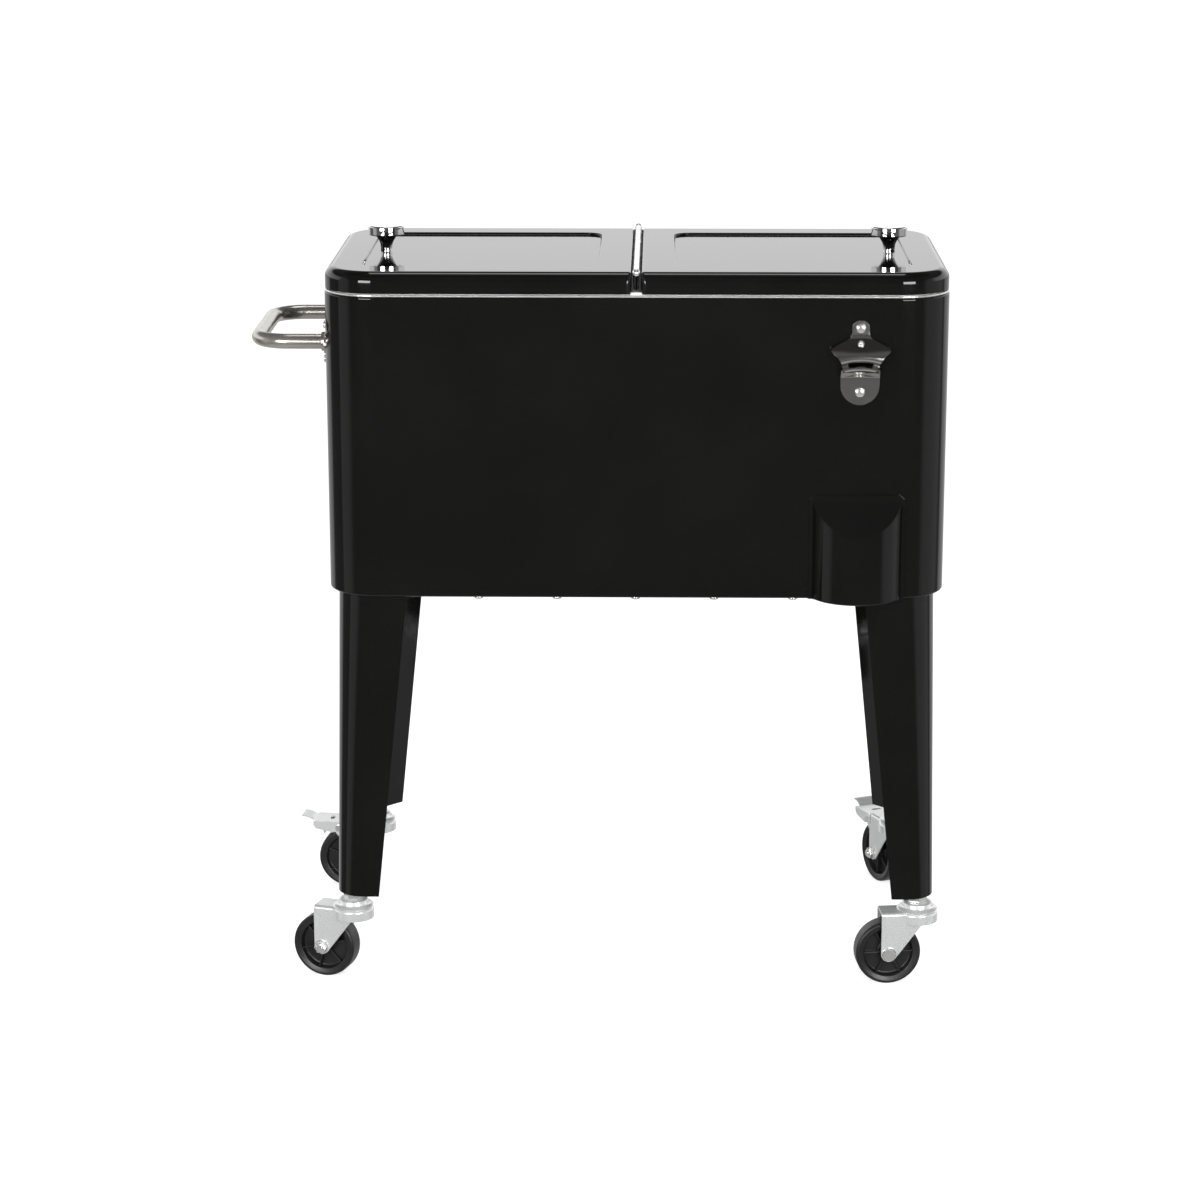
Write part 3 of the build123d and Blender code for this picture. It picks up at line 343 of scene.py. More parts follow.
def blend_values(nodes, links, factor, low, high):
    spread = nodes.new("ShaderNodeMapRange")
    spread.inputs["From Min"].default_value = 0.35
    spread.inputs["From Max"].default_value = 0.65
    spread.inputs["To Min"].default_value = low
    spread.inputs["To Max"].default_value = high
    links.new(factor, spread.inputs["Value"])
    return spread.outputs["Result"]


def bump(nodes, links, shader, height, strength, distance):
    bumps = nodes.new("ShaderNodeBump")
    bumps.inputs["Strength"].default_value = strength
    bumps.inputs["Distance"].default_value = distance
    links.new(height, bumps.inputs["Height"])
    links.new(bumps.outputs["Normal"], shader.inputs["Normal"])


def coated_black(name, colour, sheen_low, sheen_high):
    """Gloss black coating with a faint orange peel and slight changes of sheen."""
    paint, nodes, links, shader = new_finish(name)
    peel = fine_noise(nodes, links, 260, 2)
    cloud = fine_noise(nodes, links, 9, 4)
    low = tuple(0.85 * part for part in colour)
    high = tuple(1.15 * part for part in colour)
    links.new(blend_colours(nodes, links, cloud.outputs["Fac"], low, high), shader.inputs["Base Color"])
    links.new(blend_values(nodes, links, cloud.outputs["Fac"], sheen_low, sheen_high),
              shader.inputs["Roughness"])
    bump(nodes, links, shader, peel.outputs["Fac"], 0.02, 0.0004)
    return paint


def metal(name, colour, sheen_low, sheen_high, grain=(1, 1, 1), grain_scale=120, depth=0.03, metallic=1.0):
    """Metal with a fine grain that changes its sheen and its surface."""
    paint, nodes, links, shader = new_finish(name)
    shader.inputs["Metallic"].default_value = metallic
    grain_noise = fine_noise(nodes, links, grain_scale, 5, grain)
    cloud = fine_noise(nodes, links, 22, 3)
    low = tuple(0.93 * part for part in colour)
    links.new(blend_colours(nodes, links, cloud.outputs["Fac"], low, colour), shader.inputs["Base Color"])
    links.new(blend_values(nodes, links, grain_noise.outputs["Fac"], sheen_low, sheen_high),
              shader.inputs["Roughness"])
    bump(nodes, links, shader, grain_noise.outputs["Fac"], depth, 0.0003)
    return paint


def moulded(name, colour, sheen_low, sheen_high, scale=500, depth=0.12):
    """Moulded plastic or rubber with a fine stipple."""
    paint, nodes, links, shader = new_finish(name)
    stipple = fine_noise(nodes, links, scale, 2)
    cloud = fine_noise(nodes, links, 30, 3)
    low = tuple(0.88 * part for part in colour)
    links.new(blend_colours(nodes, links, cloud.outputs["Fac"], low, colour), shader.inputs["Base Color"])
    links.new(blend_values(nodes, links, cloud.outputs["Fac"], sheen_low, sheen_high),
              shader.inputs["Roughness"])
    bump(nodes, links, shader, stipple.outputs["Fac"], depth, 0.0004)
    return paint


black_coat = coated_black("gloss_black_coat", (0.0038, 0.0038, 0.0036), 0.045, 0.085)
chrome = metal("mirror_chrome", (0.82, 0.82, 0.83), 0.02, 0.05, grain_scale=60, depth=0.004)
rod_steel = metal("bright_rod", (0.93, 0.93, 0.93), 0.10, 0.18, (1, 0.05, 1), 300, 0.02, 0.85)
# Near-black, matte hinge leaves: their darkness is painted shade for the gaps either side of the hinge rod.
leaf_painted_gap_shade = moulded("leaf_painted_gap_shade", (0.012, 0.012, 0.012), 0.55, 0.7)
polished = metal("polished_stainless", (0.66, 0.65, 0.62), 0.11, 0.16, (1, 1, 0.08), 1200, 0.008)
satin = metal("satin_stainless", (0.52, 0.49, 0.45), 0.20, 0.27, (1, 0.06, 1), 1200, 0.01, 0.85)
zinc = metal("bright_zinc", (0.88, 0.89, 0.89), 0.25, 0.30, (1, 1, 1), 2400, 0.008, 0.62)
screw_metal = metal("plated_screw", (0.80, 0.80, 0.79), 0.14, 0.20, (1, 1, 1), 1500, 0.008, 0.75)
trim_steel = metal("rim_steel", (0.92, 0.92, 0.91), 0.18, 0.26, (1, 1, 1), 150, 0.02, 0.8)
galvanised = metal("galvanised_sheet", (0.52, 0.53, 0.54), 0.35, 0.55, (1, 1, 1), 70, 0.05)
wheel_black = moulded("wheel_black", (0.011, 0.011, 0.0115), 0.34, 0.44)
tub_white = moulded("tub_white", (0.80, 0.80, 0.79), 0.28, 0.38, 700, 0.06)
foam_cream = moulded("foam_cream", (0.78, 0.70, 0.50), 0.80, 0.95, 240, 0.5)
seal_black = moulded("seal_black", (0.03, 0.03, 0.03), 0.55, 0.7)
drain_black = moulded("drain_black", (0.035, 0.035, 0.035), 0.4, 0.5)


# ---------------------------------------------------------------- cabinet
def slab(name, inset, bottom, top, steps):
    """Block with the cabinet's rounded outline, drawn in by inset, in millimetres."""
    piece = block(name, at(-HALF_LENGTH + inset, -HALF_DEPTH + inset, bottom),
                  at(HALF_LENGTH - inset, HALF_DEPTH - inset, top))
    bevel(piece, "EDGE", upright, (CORNER - inset) * MM, steps)
    return piece


def build_wall():
    """Wrapped sheet steel wall, with a flange turned in at the rim and at the base."""
    wall = slab("cabinet_wall", 0, BOX_BOTTOM, SHELL_TOP, 32)
    for height, flange in ((SHELL_TOP, 14.1), (BOX_BOTTOM, 13.6)):
        bevel(wall, "EDGE", at_height(height), 2.4 * MM, 4)
        edit(wall)
        choose(wall, "FACE", at_height(height))
        draw_in(flange)
        bpy.ops.mesh.delete(type="FACE")
        done()
    give_wall(wall, 1.2)
    smooth(wall)
    finish(wall, "cabinet", "black_paint", black_coat, "cabinet_shell")


def turned_edge(edge, most=0.5):
    """An edge whose two faces meet at a steep angle: the cosine between them is below most."""
    faces = edge.link_faces
    return len(faces) == 2 and abs(faces[0].normal.dot(faces[1].normal)) < most


def rim_edge(edge):
    """An edge where a level face meets an upright one."""
    return turned_edge(edge, 0.1)


def build_rim_trim():
    """Bare steel ring between the wall and the lids."""
    trim = slab("rim_ring", 0.2, TRIM_BOTTOM, TRIM_TOP, 32)
    for height in (TRIM_BOTTOM, TRIM_TOP):
        bevel(trim, "EDGE", at_height(height), 0.9 * MM, 4)
    edit(trim)
    choose(trim, "FACE", lambda face: at_height(TRIM_BOTTOM)(face) or at_height(TRIM_TOP)(face))
    draw_in(15.4)
    bpy.ops.mesh.bridge_edge_loops()
    done()
    smooth(trim)
    finish(trim, "cabinet", "polished_steel", trim_steel, "rim_trim")


def build_tub():
    """Moulded tub: a rim that lies on the flange, drawn walls and a rounded floor."""
    tub = slab("tub", 5, TRIM_TOP, TUB_TOP, 20)
    edit(tub)
    choose(tub, "FACE", at_height(TUB_TOP))
    draw_in(15)
    draw_out(0, 0, -295 * MM)
    widen(0.997, 0.994, 1, at(0, 0, TUB_FLOOR))
    choose(tub, "FACE", at_height(TRIM_TOP))
    draw_in(12.5)
    draw_out(0, 0, -295 * MM)
    widen(0.997, 0.994, 1, at(0, 0, TUB_UNDERSIDE))
    done()
    bevel(tub, "EDGE", lambda e: at_height(TUB_FLOOR)(e) and turned_edge(e), 8 * MM, 6)
    bevel(tub, "EDGE", lambda e: at_height(TUB_UNDERSIDE)(e) and turned_edge(e), 9 * MM, 4)
    bevel(tub, "EDGE", lambda e: at_height(TUB_TOP)(e) and turned_edge(e), 0.9 * MM, 3)
    smooth(tub)
    finish(tub, "cabinet", "white_plastic", tub_white, "basin_liner")


# ---------------------------------------------------------------- lids
def build_lid_pan():
    """Pressed steel pan of the right lid, with its sunk panel and the wall along the split."""
    pan = slab("right_lid_pan", 0.7, LID_BOTTOM, LID_TOP, 28)
    bevel(pan, "EDGE", at_height(LID_TOP), 10.8 * MM, 12)
    split(pan, at(4.6, 0, 0), (-1, 0, 0))
    edit(pan)
    choose(pan, "EDGE", lambda e: all(abs(v.co.x - at(4.6, 0, 0).x) < 1e-6 for v in e.verts)
           and not at_height(LID_BOTTOM)(e))
    shape = bmesh.from_edit_mesh(pan.data)
    weight = shape.edges.layers.float.new("bevel_weight_edge")
    for line in shape.edges:
        if line.select:
            rise = min(1, max(0, (middle(line).z - 0.7592) / 0.0108))
            line[weight] = 1.0 - 0.571 * rise
    bmesh.update_edit_mesh(pan.data)
    done()
    modify(pan, "BEVEL", width=7 * MM, segments=8, limit_method="WEIGHT")
    pocket = block("pocket", at(40, -125, 767.5), at(284, 125, 775))
    bevel(pocket, "EDGE", upright, 18 * MM, 12)
    bevel(pocket, "EDGE", at_height(767.5), 1.2 * MM, 4)
    cut(pan, pocket)
    bevel(pan, "EDGE", lambda e: at_height(LID_TOP)(e) and in_box(middle(e), (39, -126), (285, 126)),
          1.25 * MM, 4)
    edit(pan)
    drop_faces(pan, at_height(LID_BOTTOM))
    done()
    give_wall(pan, 1.0)
    cut(pan, block("clearance", at(0, -166, 740), at(7.6, 166, 750.3)))
    smooth(pan)
    return pan


def in_box(point, low, high):
    low, high = at(*low, 0), at(*high, 0)
    return low.x < point.x < high.x and low.y < point.y < high.y


def lid_outline(name, low, high, near, far):
    """Block with the right lid's outline: near is the corner radius at the split, far at the end."""
    piece = block(name, at(*low), at(*high))
    bevel(piece, "EDGE", lambda e: upright(e) and middle(e).x > at(100, 0).x, far * MM, 20)
    bevel(piece, "EDGE", lambda e: upright(e) and middle(e).x < at(100, 0).x, near * MM, 6)
    return piece


def build_lid_inside():
    """White inner panel of the right lid, with a sunk middle and a raised field inside it."""
    inner = lid_outline("right_lid_inside", (5.9, -167.5, 751.6), (321.5, 167.5, 753.6), 5.7, 53)
    pocket = lid_outline("pocket", (30, -142, 750), (296, 142, 752.5), 16, 30)
    bevel(pocket, "EDGE", at_height(752.5), 0.5 * MM, 3)
    cut(inner, pocket)
    bevel(inner, "EDGE", lambda e: at_height(751.6)(e) and in_box(middle(e), (29, -143), (297, 143)),
          0.6 * MM, 3)
    field = lid_outline("field", (52, -120, 752.1), (244, 120, 753), 10, 10)
    bevel(field, "EDGE", at_height(752.1), 0.3 * MM, 2)
    smooth(field)
    smooth(inner)
    return join("right_lid_inside", [inner, field])


def build_lid_seal():
    """Gasket under the right lid's edge."""
    seal = lid_outline("right_lid_gasket", (8.6, -157.5, 749.7), (311.5, 157.5, 751.6), 6, 43)
    cut(seal, lid_outline("gap", (13.1, -153, 749), (307, 153, 752), 1.5, 38.5))
    bevel(seal, "EDGE", lambda e: at_height(749.7)(e) and rim_edge(e), 0.8 * MM, 3)
    smooth(seal)
    return seal


def mirrored(piece, name, angle=35):
    """The same piece on the other side of the cabinet's middle."""
    copy = again(piece, name)
    edit(copy)
    flip(0)
    done()
    smooth(copy, angle)
    return copy


def both_lids(piece, part, slot, paint, hides):
    finish(mirrored(piece, "left_" + part), "left_lid", slot, paint, "left_" + hides)
    finish(piece, "right_lid", slot, paint, "right_" + hides)


KNOB = (
    (6.3, 0.0), (6.3, 0.7), (6.15, 1.4), (6.1, 3.0), (6.2, 5.0), (6.5, 7.0), (6.95, 8.8), (7.6, 10.5),
    (8.35, 12.0), (9.2, 13.4), (10.1, 14.8), (11.0, 16.0), (11.9, 16.95), (13.2, 17.3), (17.4, 17.6),
    (18.2, 17.8), (18.75, 18.3), (19.0, 19.0), (19.0, 26.2), (18.85, 26.9), (18.45, 27.4), (17.8, 27.75),
    (17.0, 27.9), (12.0, 28.05), (0.6, 28.2),
)


def build_knob():
    """Chrome knob: slim waist under a thick, wide cap with a softened rim."""
    knob = turned("right_round_knob", KNOB, 72)
    smooth(knob, 40)
    return move(knob, at(KNOB_X, 0, 767.5))


def build_knob_screw():
    screw = turned("right_knob_fixing", (
        (2.45, 13), (2.45, 0), (6.0, 0), (5.9, -1.4), (5.3, -2.6), (4.0, -3.3), (0.4, -3.5)), 32)
    smooth(screw, 40)
    return move(screw, at(KNOB_X, 0, 766.5))


# ---------------------------------------------------------------- screws and bolts
def build_pan_head(radius, height):
    """Pan-headed screw with a cross recess, pointing up from its seat at the origin."""
    head = turned("pan_head", [(radius * a, height * b) for a, b in (
        (0.96, 0.0), (1.0, 0.1), (1.0, 0.42), (0.97, 0.58), (0.90, 0.74), (0.78, 0.87), (0.58, 0.96),
        (0.30, 1.0), (0.05, 1.0))], 36)
    for turn in (0, pi / 2):
        slot = block("slot", (-0.56 * radius * MM, -0.115 * radius * MM, 0.45 * height * MM),
                     (0.56 * radius * MM, 0.115 * radius * MM, 2 * height * MM))
        move(slot, turn=turn)
        cut(head, slot)
    smooth(head, 40)
    return head


def build_hex(radius, height, washer=0.0):
    """Hexagon with broken corners, seat at the origin, on a round washer if one is asked for."""
    body = turned("hexagon", [(radius * a, washer + height * b) for a, b in (
        (0.92, 0.0), (1.0, 0.12), (1.0, 0.86), (0.88, 1.0), (0.55, 1.0))], 6)
    smooth(body, 20)
    if not washer:
        return body
    ring = turned("washer", [(radius * a, z) for a, z in (
        (1.1, 0), (1.14, 0.15 * washer), (1.14, 0.8 * washer), (1.1, washer), (0.5, washer))], 40)
    smooth(ring)
    return join("hexagon", [body, ring])


def set_out(model, name, places):
    """Copies a model to each (place, direction, turn, size) and joins them into one piece."""
    copies = []
    for spot, pointing, turn, size in places:
        copy = again(model, name)
        copy.scale = (size, size, size)
        settle(copy)
        copies.append(move(copy, spot, "Z", turn, pointing))
    return join(name, copies)


def build_screws():
    pan = build_pan_head(4.0, 2.5)
    front = (0, -1, 0)
    opener = set_out(pan, "opener_screw_heads", [
        (at(OPENER_X, -171.3, 714.3), front, 0.5, 1.2), (at(OPENER_X, -171.3, 648.0), front, 0.1, 1.2),
        (at(OPENER_X, -HALF_DEPTH - 6.65 - 0.73, 698.6 + 0.53), (0, -0.809, 0.588), 0.3, 0.82)])
    finish(opener, "cabinet", "polished_steel", screw_metal, "opener_screws")
    catcher = set_out(pan, "catcher_screw_heads", [
        (at(OPENER_X + x, -171.9, 505), front, 0.2 + 0.03 * x, 1.0) for x in (-22, 22)])
    finish(catcher, "cabinet", "screw_steel", screw_metal, "catcher_screws")
    handle = set_out(pan, "handle_screw_heads", [
        (at(-325.5, y, HANDLE_Z + rise), (-1, 0, 0), 0.4 + 0.01 * y, 1.05)
        for y in (-HANDLE_Y, HANDLE_Y) for rise in (-18, 18)])
    finish(handle, "cabinet", "satin_steel", screw_metal, "handle_screws")
    places = [(step * 82.0, row * 162.0) for row in (-1, 1) for step in range(-2, 3)]
    places += [(end * 316.0, step * 82.0) for end in (-1, 1) for step in (-0.5, 0.5)]
    base = set_out(pan, "base_screw_heads", [
        (at(x, y, BOX_BOTTOM), (0, 0, -1), 0.013 * x, 1.2) for x, y in places])
    finish(base, "cabinet", "screw_steel", screw_metal, "bottom_screws")
    remove(pan)

    bolt = build_hex(5.8, 3.2, 0.8)
    bolts = set_out(bolt, "leg_bolt_heads", [
        (at(sx * (314.5 - a), sy * (160.5 - b), 426), (0, 0, -1), 0.1 * a, 1.0)
        for sx in (-1, 1) for sy in (-1, 1) for a, b in ((72, 26), (26, 72), (50, 50))])
    finish(bolts, "cabinet", "screw_steel", screw_metal, "leg_bolts")
    remove(bolt)


def remove(piece):
    pick_only(piece)
    bpy.ops.object.delete()


# ---------------------------------------------------------------- opener and cap catcher
OPENER_ROWS = (
    # out from the wall, height, half width, and how far the row's ends hang below its middle
    (0.9, 722.2, 2.5, 0), (0.9, 721.3, 5.0, 0), (0.9, 719.6, 6.9, 0), (0.9, 717.4, 8.2, 0),
    (0.9, 714.6, 8.85, 0), (0.9, 710.9, 8.9, 0), (1.0, 709.4, 8.9, 0), (1.25, 707.9, 8.95, 0),
    (1.7, 706.4, 9.2, 0.1), (2.35, 704.9, 10.4, 0.3), (3.3, 703.2, 13.0, 0.6),
    (4.7, 701.2, 17.6, 1.0), (6.0, 699.4, 22.2, 1.3),
    (7.3, 697.6, 26.4, 1.6), (8.6, 695.8, 29.4, 1.9), (9.6, 694.4, 30.5, 2.1), (10.6, 693.0, 30.0, 2.3),
    (11.8, 691.2, 27.6, 2.5), (13.0, 689.2, 24.9, 2.7), (13.8, 687.4, 23.0, 2.8), (14.2, 685.6, 21.6, 2.9),
    (14.1, 684.2, 20.6, 3.0), (13.1, 682.8, 19.9, 3.0), (11.2, 681.6, 19.5, 3.0), (8.8, 680.4, 19.3, 3.0),
    (6.9, 679.3, 19.3, 3.0), (6.1, 678.3, 19.3, 3.0), (6.6, 677.2, 19.4, 3.0), (8.2, 675.8, 19.6, 3.0),
    (9.2, 674.6, 19.8, 2.9), (9.2, 673.3, 19.9, 2.8), (8.0, 671.7, 20.0, 2.6), (5.6, 669.3, 20.1, 2.1),
    (3.2, 667.0, 20.1, 1.4), (1.6, 665.2, 20.1, 0.7), (1.0, 664.0, 20.1, 0.2), (0.9, 662.6, 20.1, 0),
    (0.9, 654.8, 20.0, 0), (0.9, 650.0, 19.4, 0), (0.9, 645.8, 17.9, 0), (0.9, 642.0, 15.4, 0),
    (0.9, 639.0, 12.2, 0), (0.9, 636.8, 8.6, 0), (0.9, 635.4, 5.0, 0), (0.9, 634.8, 2.2, 0),
)


def in_mouth(face):
    """A face of the opener's mouth, which is bowed as the rows are."""
    spot = face.calc_center_median()
    across = spot.x - at(OPENER_X, 0, 0).x
    return abs(across) < 13.4 * MM and 677.5 * MM < spot.z + 3 * MM * (across / (19.4 * MM)) ** 2 < 681.3 * MM


def build_opener():
    """Stamped opener: a row of points across is drawn out, widened and bowed, row after row."""
    out, height, half, hang = OPENER_ROWS[0]
    opener = plate("cap_opener", at(OPENER_X - half, -HALF_DEPTH - out),
                   at(OPENER_X + half, -HALF_DEPTH - out + 1), at(0, 0, height).z)
    edit(opener)
    choose(opener, "EDGE", lambda e: abs(e.verts[0].co.x - e.verts[1].co.x) > 1e-4)
    bpy.ops.mesh.subdivide(number_cuts=23)
    choose(opener, "VERT", lambda v: v.co.y > at(0, -170, 0).y)
    bpy.ops.mesh.delete(type="VERT")
    choose(opener, "EDGE", lambda e: True)
    for next_out, next_height, next_half, next_hang in OPENER_ROWS[1:]:
        draw_out(0, (out - next_out) * MM, (next_height - height) * MM)
        centre = at(OPENER_X, -HALF_DEPTH - next_out, next_height)
        widen(next_half / half, 1, 1, centre)
        out, height, half = next_out, next_height, next_half
    shape = bmesh.from_edit_mesh(opener.data)
    rows = [(height_ * MM, half_ * MM, hang_ * MM) for out_, height_, half_, hang_ in OPENER_ROWS]
    for point in shape.verts:
        row = min(rows, key=lambda line: abs(line[0] - point.co.z))
        point.co.z -= row[2] * ((point.co.x - at(OPENER_X, 0, 0).x) / row[1]) ** 2
    bmesh.update_edit_mesh(opener.data)
    drop_faces(opener, in_mouth)
    bpy.ops.mesh.select_all(action="SELECT")
    bpy.ops.mesh.normals_make_consistent(inside=False)
    done()
    modify(opener, "SOLIDIFY", thickness=1.8 * MM, offset=0.0, use_even_offset=True)
    modify(opener, "BEVEL", width=0.35 * MM, segments=2, limit_method="ANGLE", angle_limit=radians(50))
    smooth(opener, 40)
    finish(opener, "cabinet", "polished_steel", polished, "bottle_opener")


def build_catcher():
    """Bowed cup on a back plate with clipped corners."""
    low, high = at(179.5, -CATCHER_FACE, BOX_BOTTOM), at(279.5, -HALF_DEPTH, 540)
    back = block("catcher_plate", low, high)
    bevel(back, "EDGE", lambda e: abs(middle(e).z - high.z) < 1e-6
          and abs(abs(middle(e).x - at(OPENER_X, 0, 0).x) - 50 * MM) < 1e-6, 6 * MM, 1)
    bevel(back, "EDGE", lambda e: abs(middle(e).y - low.y) < 1e-6, 0.4 * MM, 2)
    bow = (46 ** 2 + 31 ** 2) / 62
    pick_nothing()
    bpy.ops.mesh.primitive_cylinder_add(vertices=160, radius=bow * MM, depth=110 * MM,
                                        location=at(OPENER_X, -CATCHER_FACE - 31 + bow, BOX_BOTTOM + 55))
    cup = bpy.context.object
    settle(cup)
    split(cup, at(0, -CATCHER_FACE, 0), (0, 1, 0))
    split(cup, at(0, -CATCHER_FACE, 532), (0, -4, 35))
    edit(cup)
    choose(cup, "FACE", lambda f: f.normal.z > 0.8)
    draw_in(1.2)
    draw_out(0, 0, -90 * MM)
    widen(1, 1, 0, at(0, 0, 430.4))
    done()
    bevel(cup, "EDGE", lambda e: turned_edge(e) and abs(middle(e).z - at(0, 0, 529).z) < 5 * MM
          and not upright(e), 0.45 * MM, 2)
    bevel(cup, "EDGE", lambda e: at_height(BOX_BOTTOM)(e) and middle(e).y < at(0, -172, 0).y, 2.2 * MM, 4)
    smooth(back)
    smooth(cup)
    catcher = join("cap_cup", [back, cup])
    finish(catcher, "cabinet", "black_paint", black_coat, "cap_catcher")


# ---------------------------------------------------------------- push handle
def build_handle():
    """Bent tube, drawn from its front end round both bends to the rear one."""
    pick_nothing()
    bpy.ops.mesh.primitive_circle_add(vertices=40, radius=8 * MM, location=at(-325.5, -HANDLE_Y, HANDLE_Z),
                                      rotation=(0, pi / 2, 0))
    tube = named("push_bar")
    settle(tube)
    edit(tube)
    bpy.ops.mesh.select_all(action="SELECT")
    draw_out(-39.5 * MM, 0, 0)
    bpy.ops.mesh.spin(steps=20, angle=pi / 2, center=at(-365, -60, HANDLE_Z), axis=(0, 0, 1))
    draw_out(0, 120 * MM, 0)
    bpy.ops.mesh.spin(steps=20, angle=pi / 2, center=at(-365, 60, HANDLE_Z), axis=(0, 0, 1))
    draw_out(39.5 * MM, 0, 0)
    done()
    face_outwards(tube)
    give_wall(tube, 1.2)
    smooth(tube)
    finish(tube, "cabinet", "satin_steel", satin, "push_handle")

    plates = []
    for y in (-HANDLE_Y, HANDLE_Y):
        foot = block("flange", (-26 * MM, -10 * MM, 0), (26 * MM, 10 * MM, 2 * MM))
        bevel(foot, "EDGE", upright, 9.99 * MM, 12)
        bevel(foot, "EDGE", at_height(2), 0.6 * MM, 3)
        collar = turned("collar", (
            (8.05, 0.2), (10.9, 0.2), (10.9, 1.8), (10.5, 2.3), (10.25, 3.0), (10.2, 5.6), (9.9, 6.2),
            (9.2, 6.5), (8.05, 6.5), (8.05, 0.2)), 40, closed=True)
        smooth(foot)
        smooth(collar)
        flange = join("flange", [foot, collar])
        plates.append(move(flange, at(-HALF_LENGTH, y, HANDLE_Z), "Z", pi / 2, (-1, 0, 0)))
    flanges = join("handle_feet", plates)
    finish(flanges, "cabinet", "satin_steel", satin, "handle_flanges")


# ---------------------------------------------------------------- legs
def build_leg():
    """Front right leg: rounded outer corner, flat inner diagonal, tapering to the foot."""
    top, foot = Vector((314.5, -160.5)), Vector((319.5, -165.5))
    leg = plate("front_right_tapered_leg", at(foot.x - 46.5, foot.y), at(foot.x, foot.y + 46.5),
                LEG_FOOT * MM)
    near = at(foot.x, foot.y, LEG_FOOT)
    edit(leg)
    choose(leg, "VERT", lambda v: (v.co - near).length < 1e-5)
    bpy.ops.mesh.bevel(offset=28.6 * MM, offset_type="OFFSET", segments=18, affect="VERTICES")
    done()
    split(leg, at(foot.x - 46.5, foot.y, LEG_FOOT) + Vector((0.4, 0.4, 0)) * MM, (-1, 1, 0))
    edit(leg)
    bpy.ops.mesh.select_all(action="SELECT")
    draw_out((top.x - foot.x) * MM, (top.y - foot.y) * MM, 332.5 * MM)
    widen(76 / 46.5, 76 / 46.5, 1, at(top.x, top.y, BOX_BOTTOM))
    bpy.ops.mesh.delete(type="FACE")
    drop_faces(leg, at_height(LEG_FOOT))
    done()
    bevel(leg, "EDGE", lambda e: abs(e.verts[0].co.z - e.verts[1].co.z) > 0.1
          and e.calc_face_angle(0) > radians(30), 2.2 * MM, 4)
    face_outwards(leg)
    give_wall(leg, 1.5)
    smooth(leg)

    deck = block("deck", at(230.5, -159.5, 426), at(313.5, -76.5, BOX_BOTTOM))
    bevel(deck, "EDGE", lambda e: upright(e) and middle(e).x > at(300, 0, 0).x
          and middle(e).y < at(0, -150, 0).y, 44 * MM, 16)
    split(deck, at(250.5, -96.5, 0), (-1, 1, 0))
    bevel(deck, "EDGE", lambda e: upright(e) and e.calc_face_angle(0) > radians(30), 5 * MM, 5)
    bevel(deck, "EDGE", at_height(426), 0.5 * MM, 2)
    smooth(deck)
    return join("front_right_tapered_leg", [leg, deck])


def build_legs():
    model = build_leg()
    for name, turns in (("front_left", (True, False)), ("rear_right", (False, True)),
                        ("rear_left", (True, True))):
        leg = again(model, name + "_tapered_leg")
        edit(leg)
        for axis in (0, 1):
            if turns[axis]:
                flip(axis)
        done()
        smooth(leg)
        finish(leg, "cabinet", "black_paint", black_coat, name + "_leg")
    finish(model, "cabinet", "black_paint", black_coat, "front_right_leg")


# ---------------------------------------------------------------- casters
CASTERS = {
    "front_left": (-1, -1, 162.0, False),
    "front_right": (1, -1, 186.0, False),
    "rear_left": (-1, 1, 174.0, True),
    "rear_right": (1, 1, 115.0, True),
}
NUT_SIDE = {"front_left": -1, "front_right": 1, "rear_left": -1, "rear_right": -1}
WHEEL = (
    # radius and distance from the wheel's middle plane, from the bore out to the tread
    (4.08, 12.6), (8.4, 12.6), (9.0, 12.0), (9.2, 8.0), (9.5, 3.6), (10.2, 2.8), (11.4, 2.5), (24.0, 2.5),
    (25.2, 2.9), (25.9, 3.8), (26.3, 8.6), (26.8, 9.3), (27.6, 9.6), (31.2, 10.9), (32.4, 11.0), (33.4, 10.7),
    (34.3, 9.9), (34.8, 8.8), (35.0, 7.6), (35.0, 4.0),
)


def build_wheel():
    """Moulded wheel on the Z axis: tyre ring, thin web with six ribs, and hub."""
    profile = WHEEL + tuple((r, -w) for r, w in reversed(WHEEL)) + WHEEL[:1]
    wheel = turned("wheel", profile, 96, closed=True)
    smooth(wheel, 40)
    ribs = []
    for index in range(6):
        rib = block("rib", (8.6 * MM, -0.9 * MM, -7.4 * MM), (26.6 * MM, 0.9 * MM, 7.4 * MM))
        bevel(rib, "EDGE", lambda e: abs(abs(middle(e).z) - 7.4 * MM) < 1e-6
              and abs(e.verts[0].co.x - e.verts[1].co.x) > 1e-3, 0.5 * MM, 2)
        smooth(rib)
        ribs.append(move(rib, turn=index * pi / 3))
    return join("wheel", [wheel] + ribs)


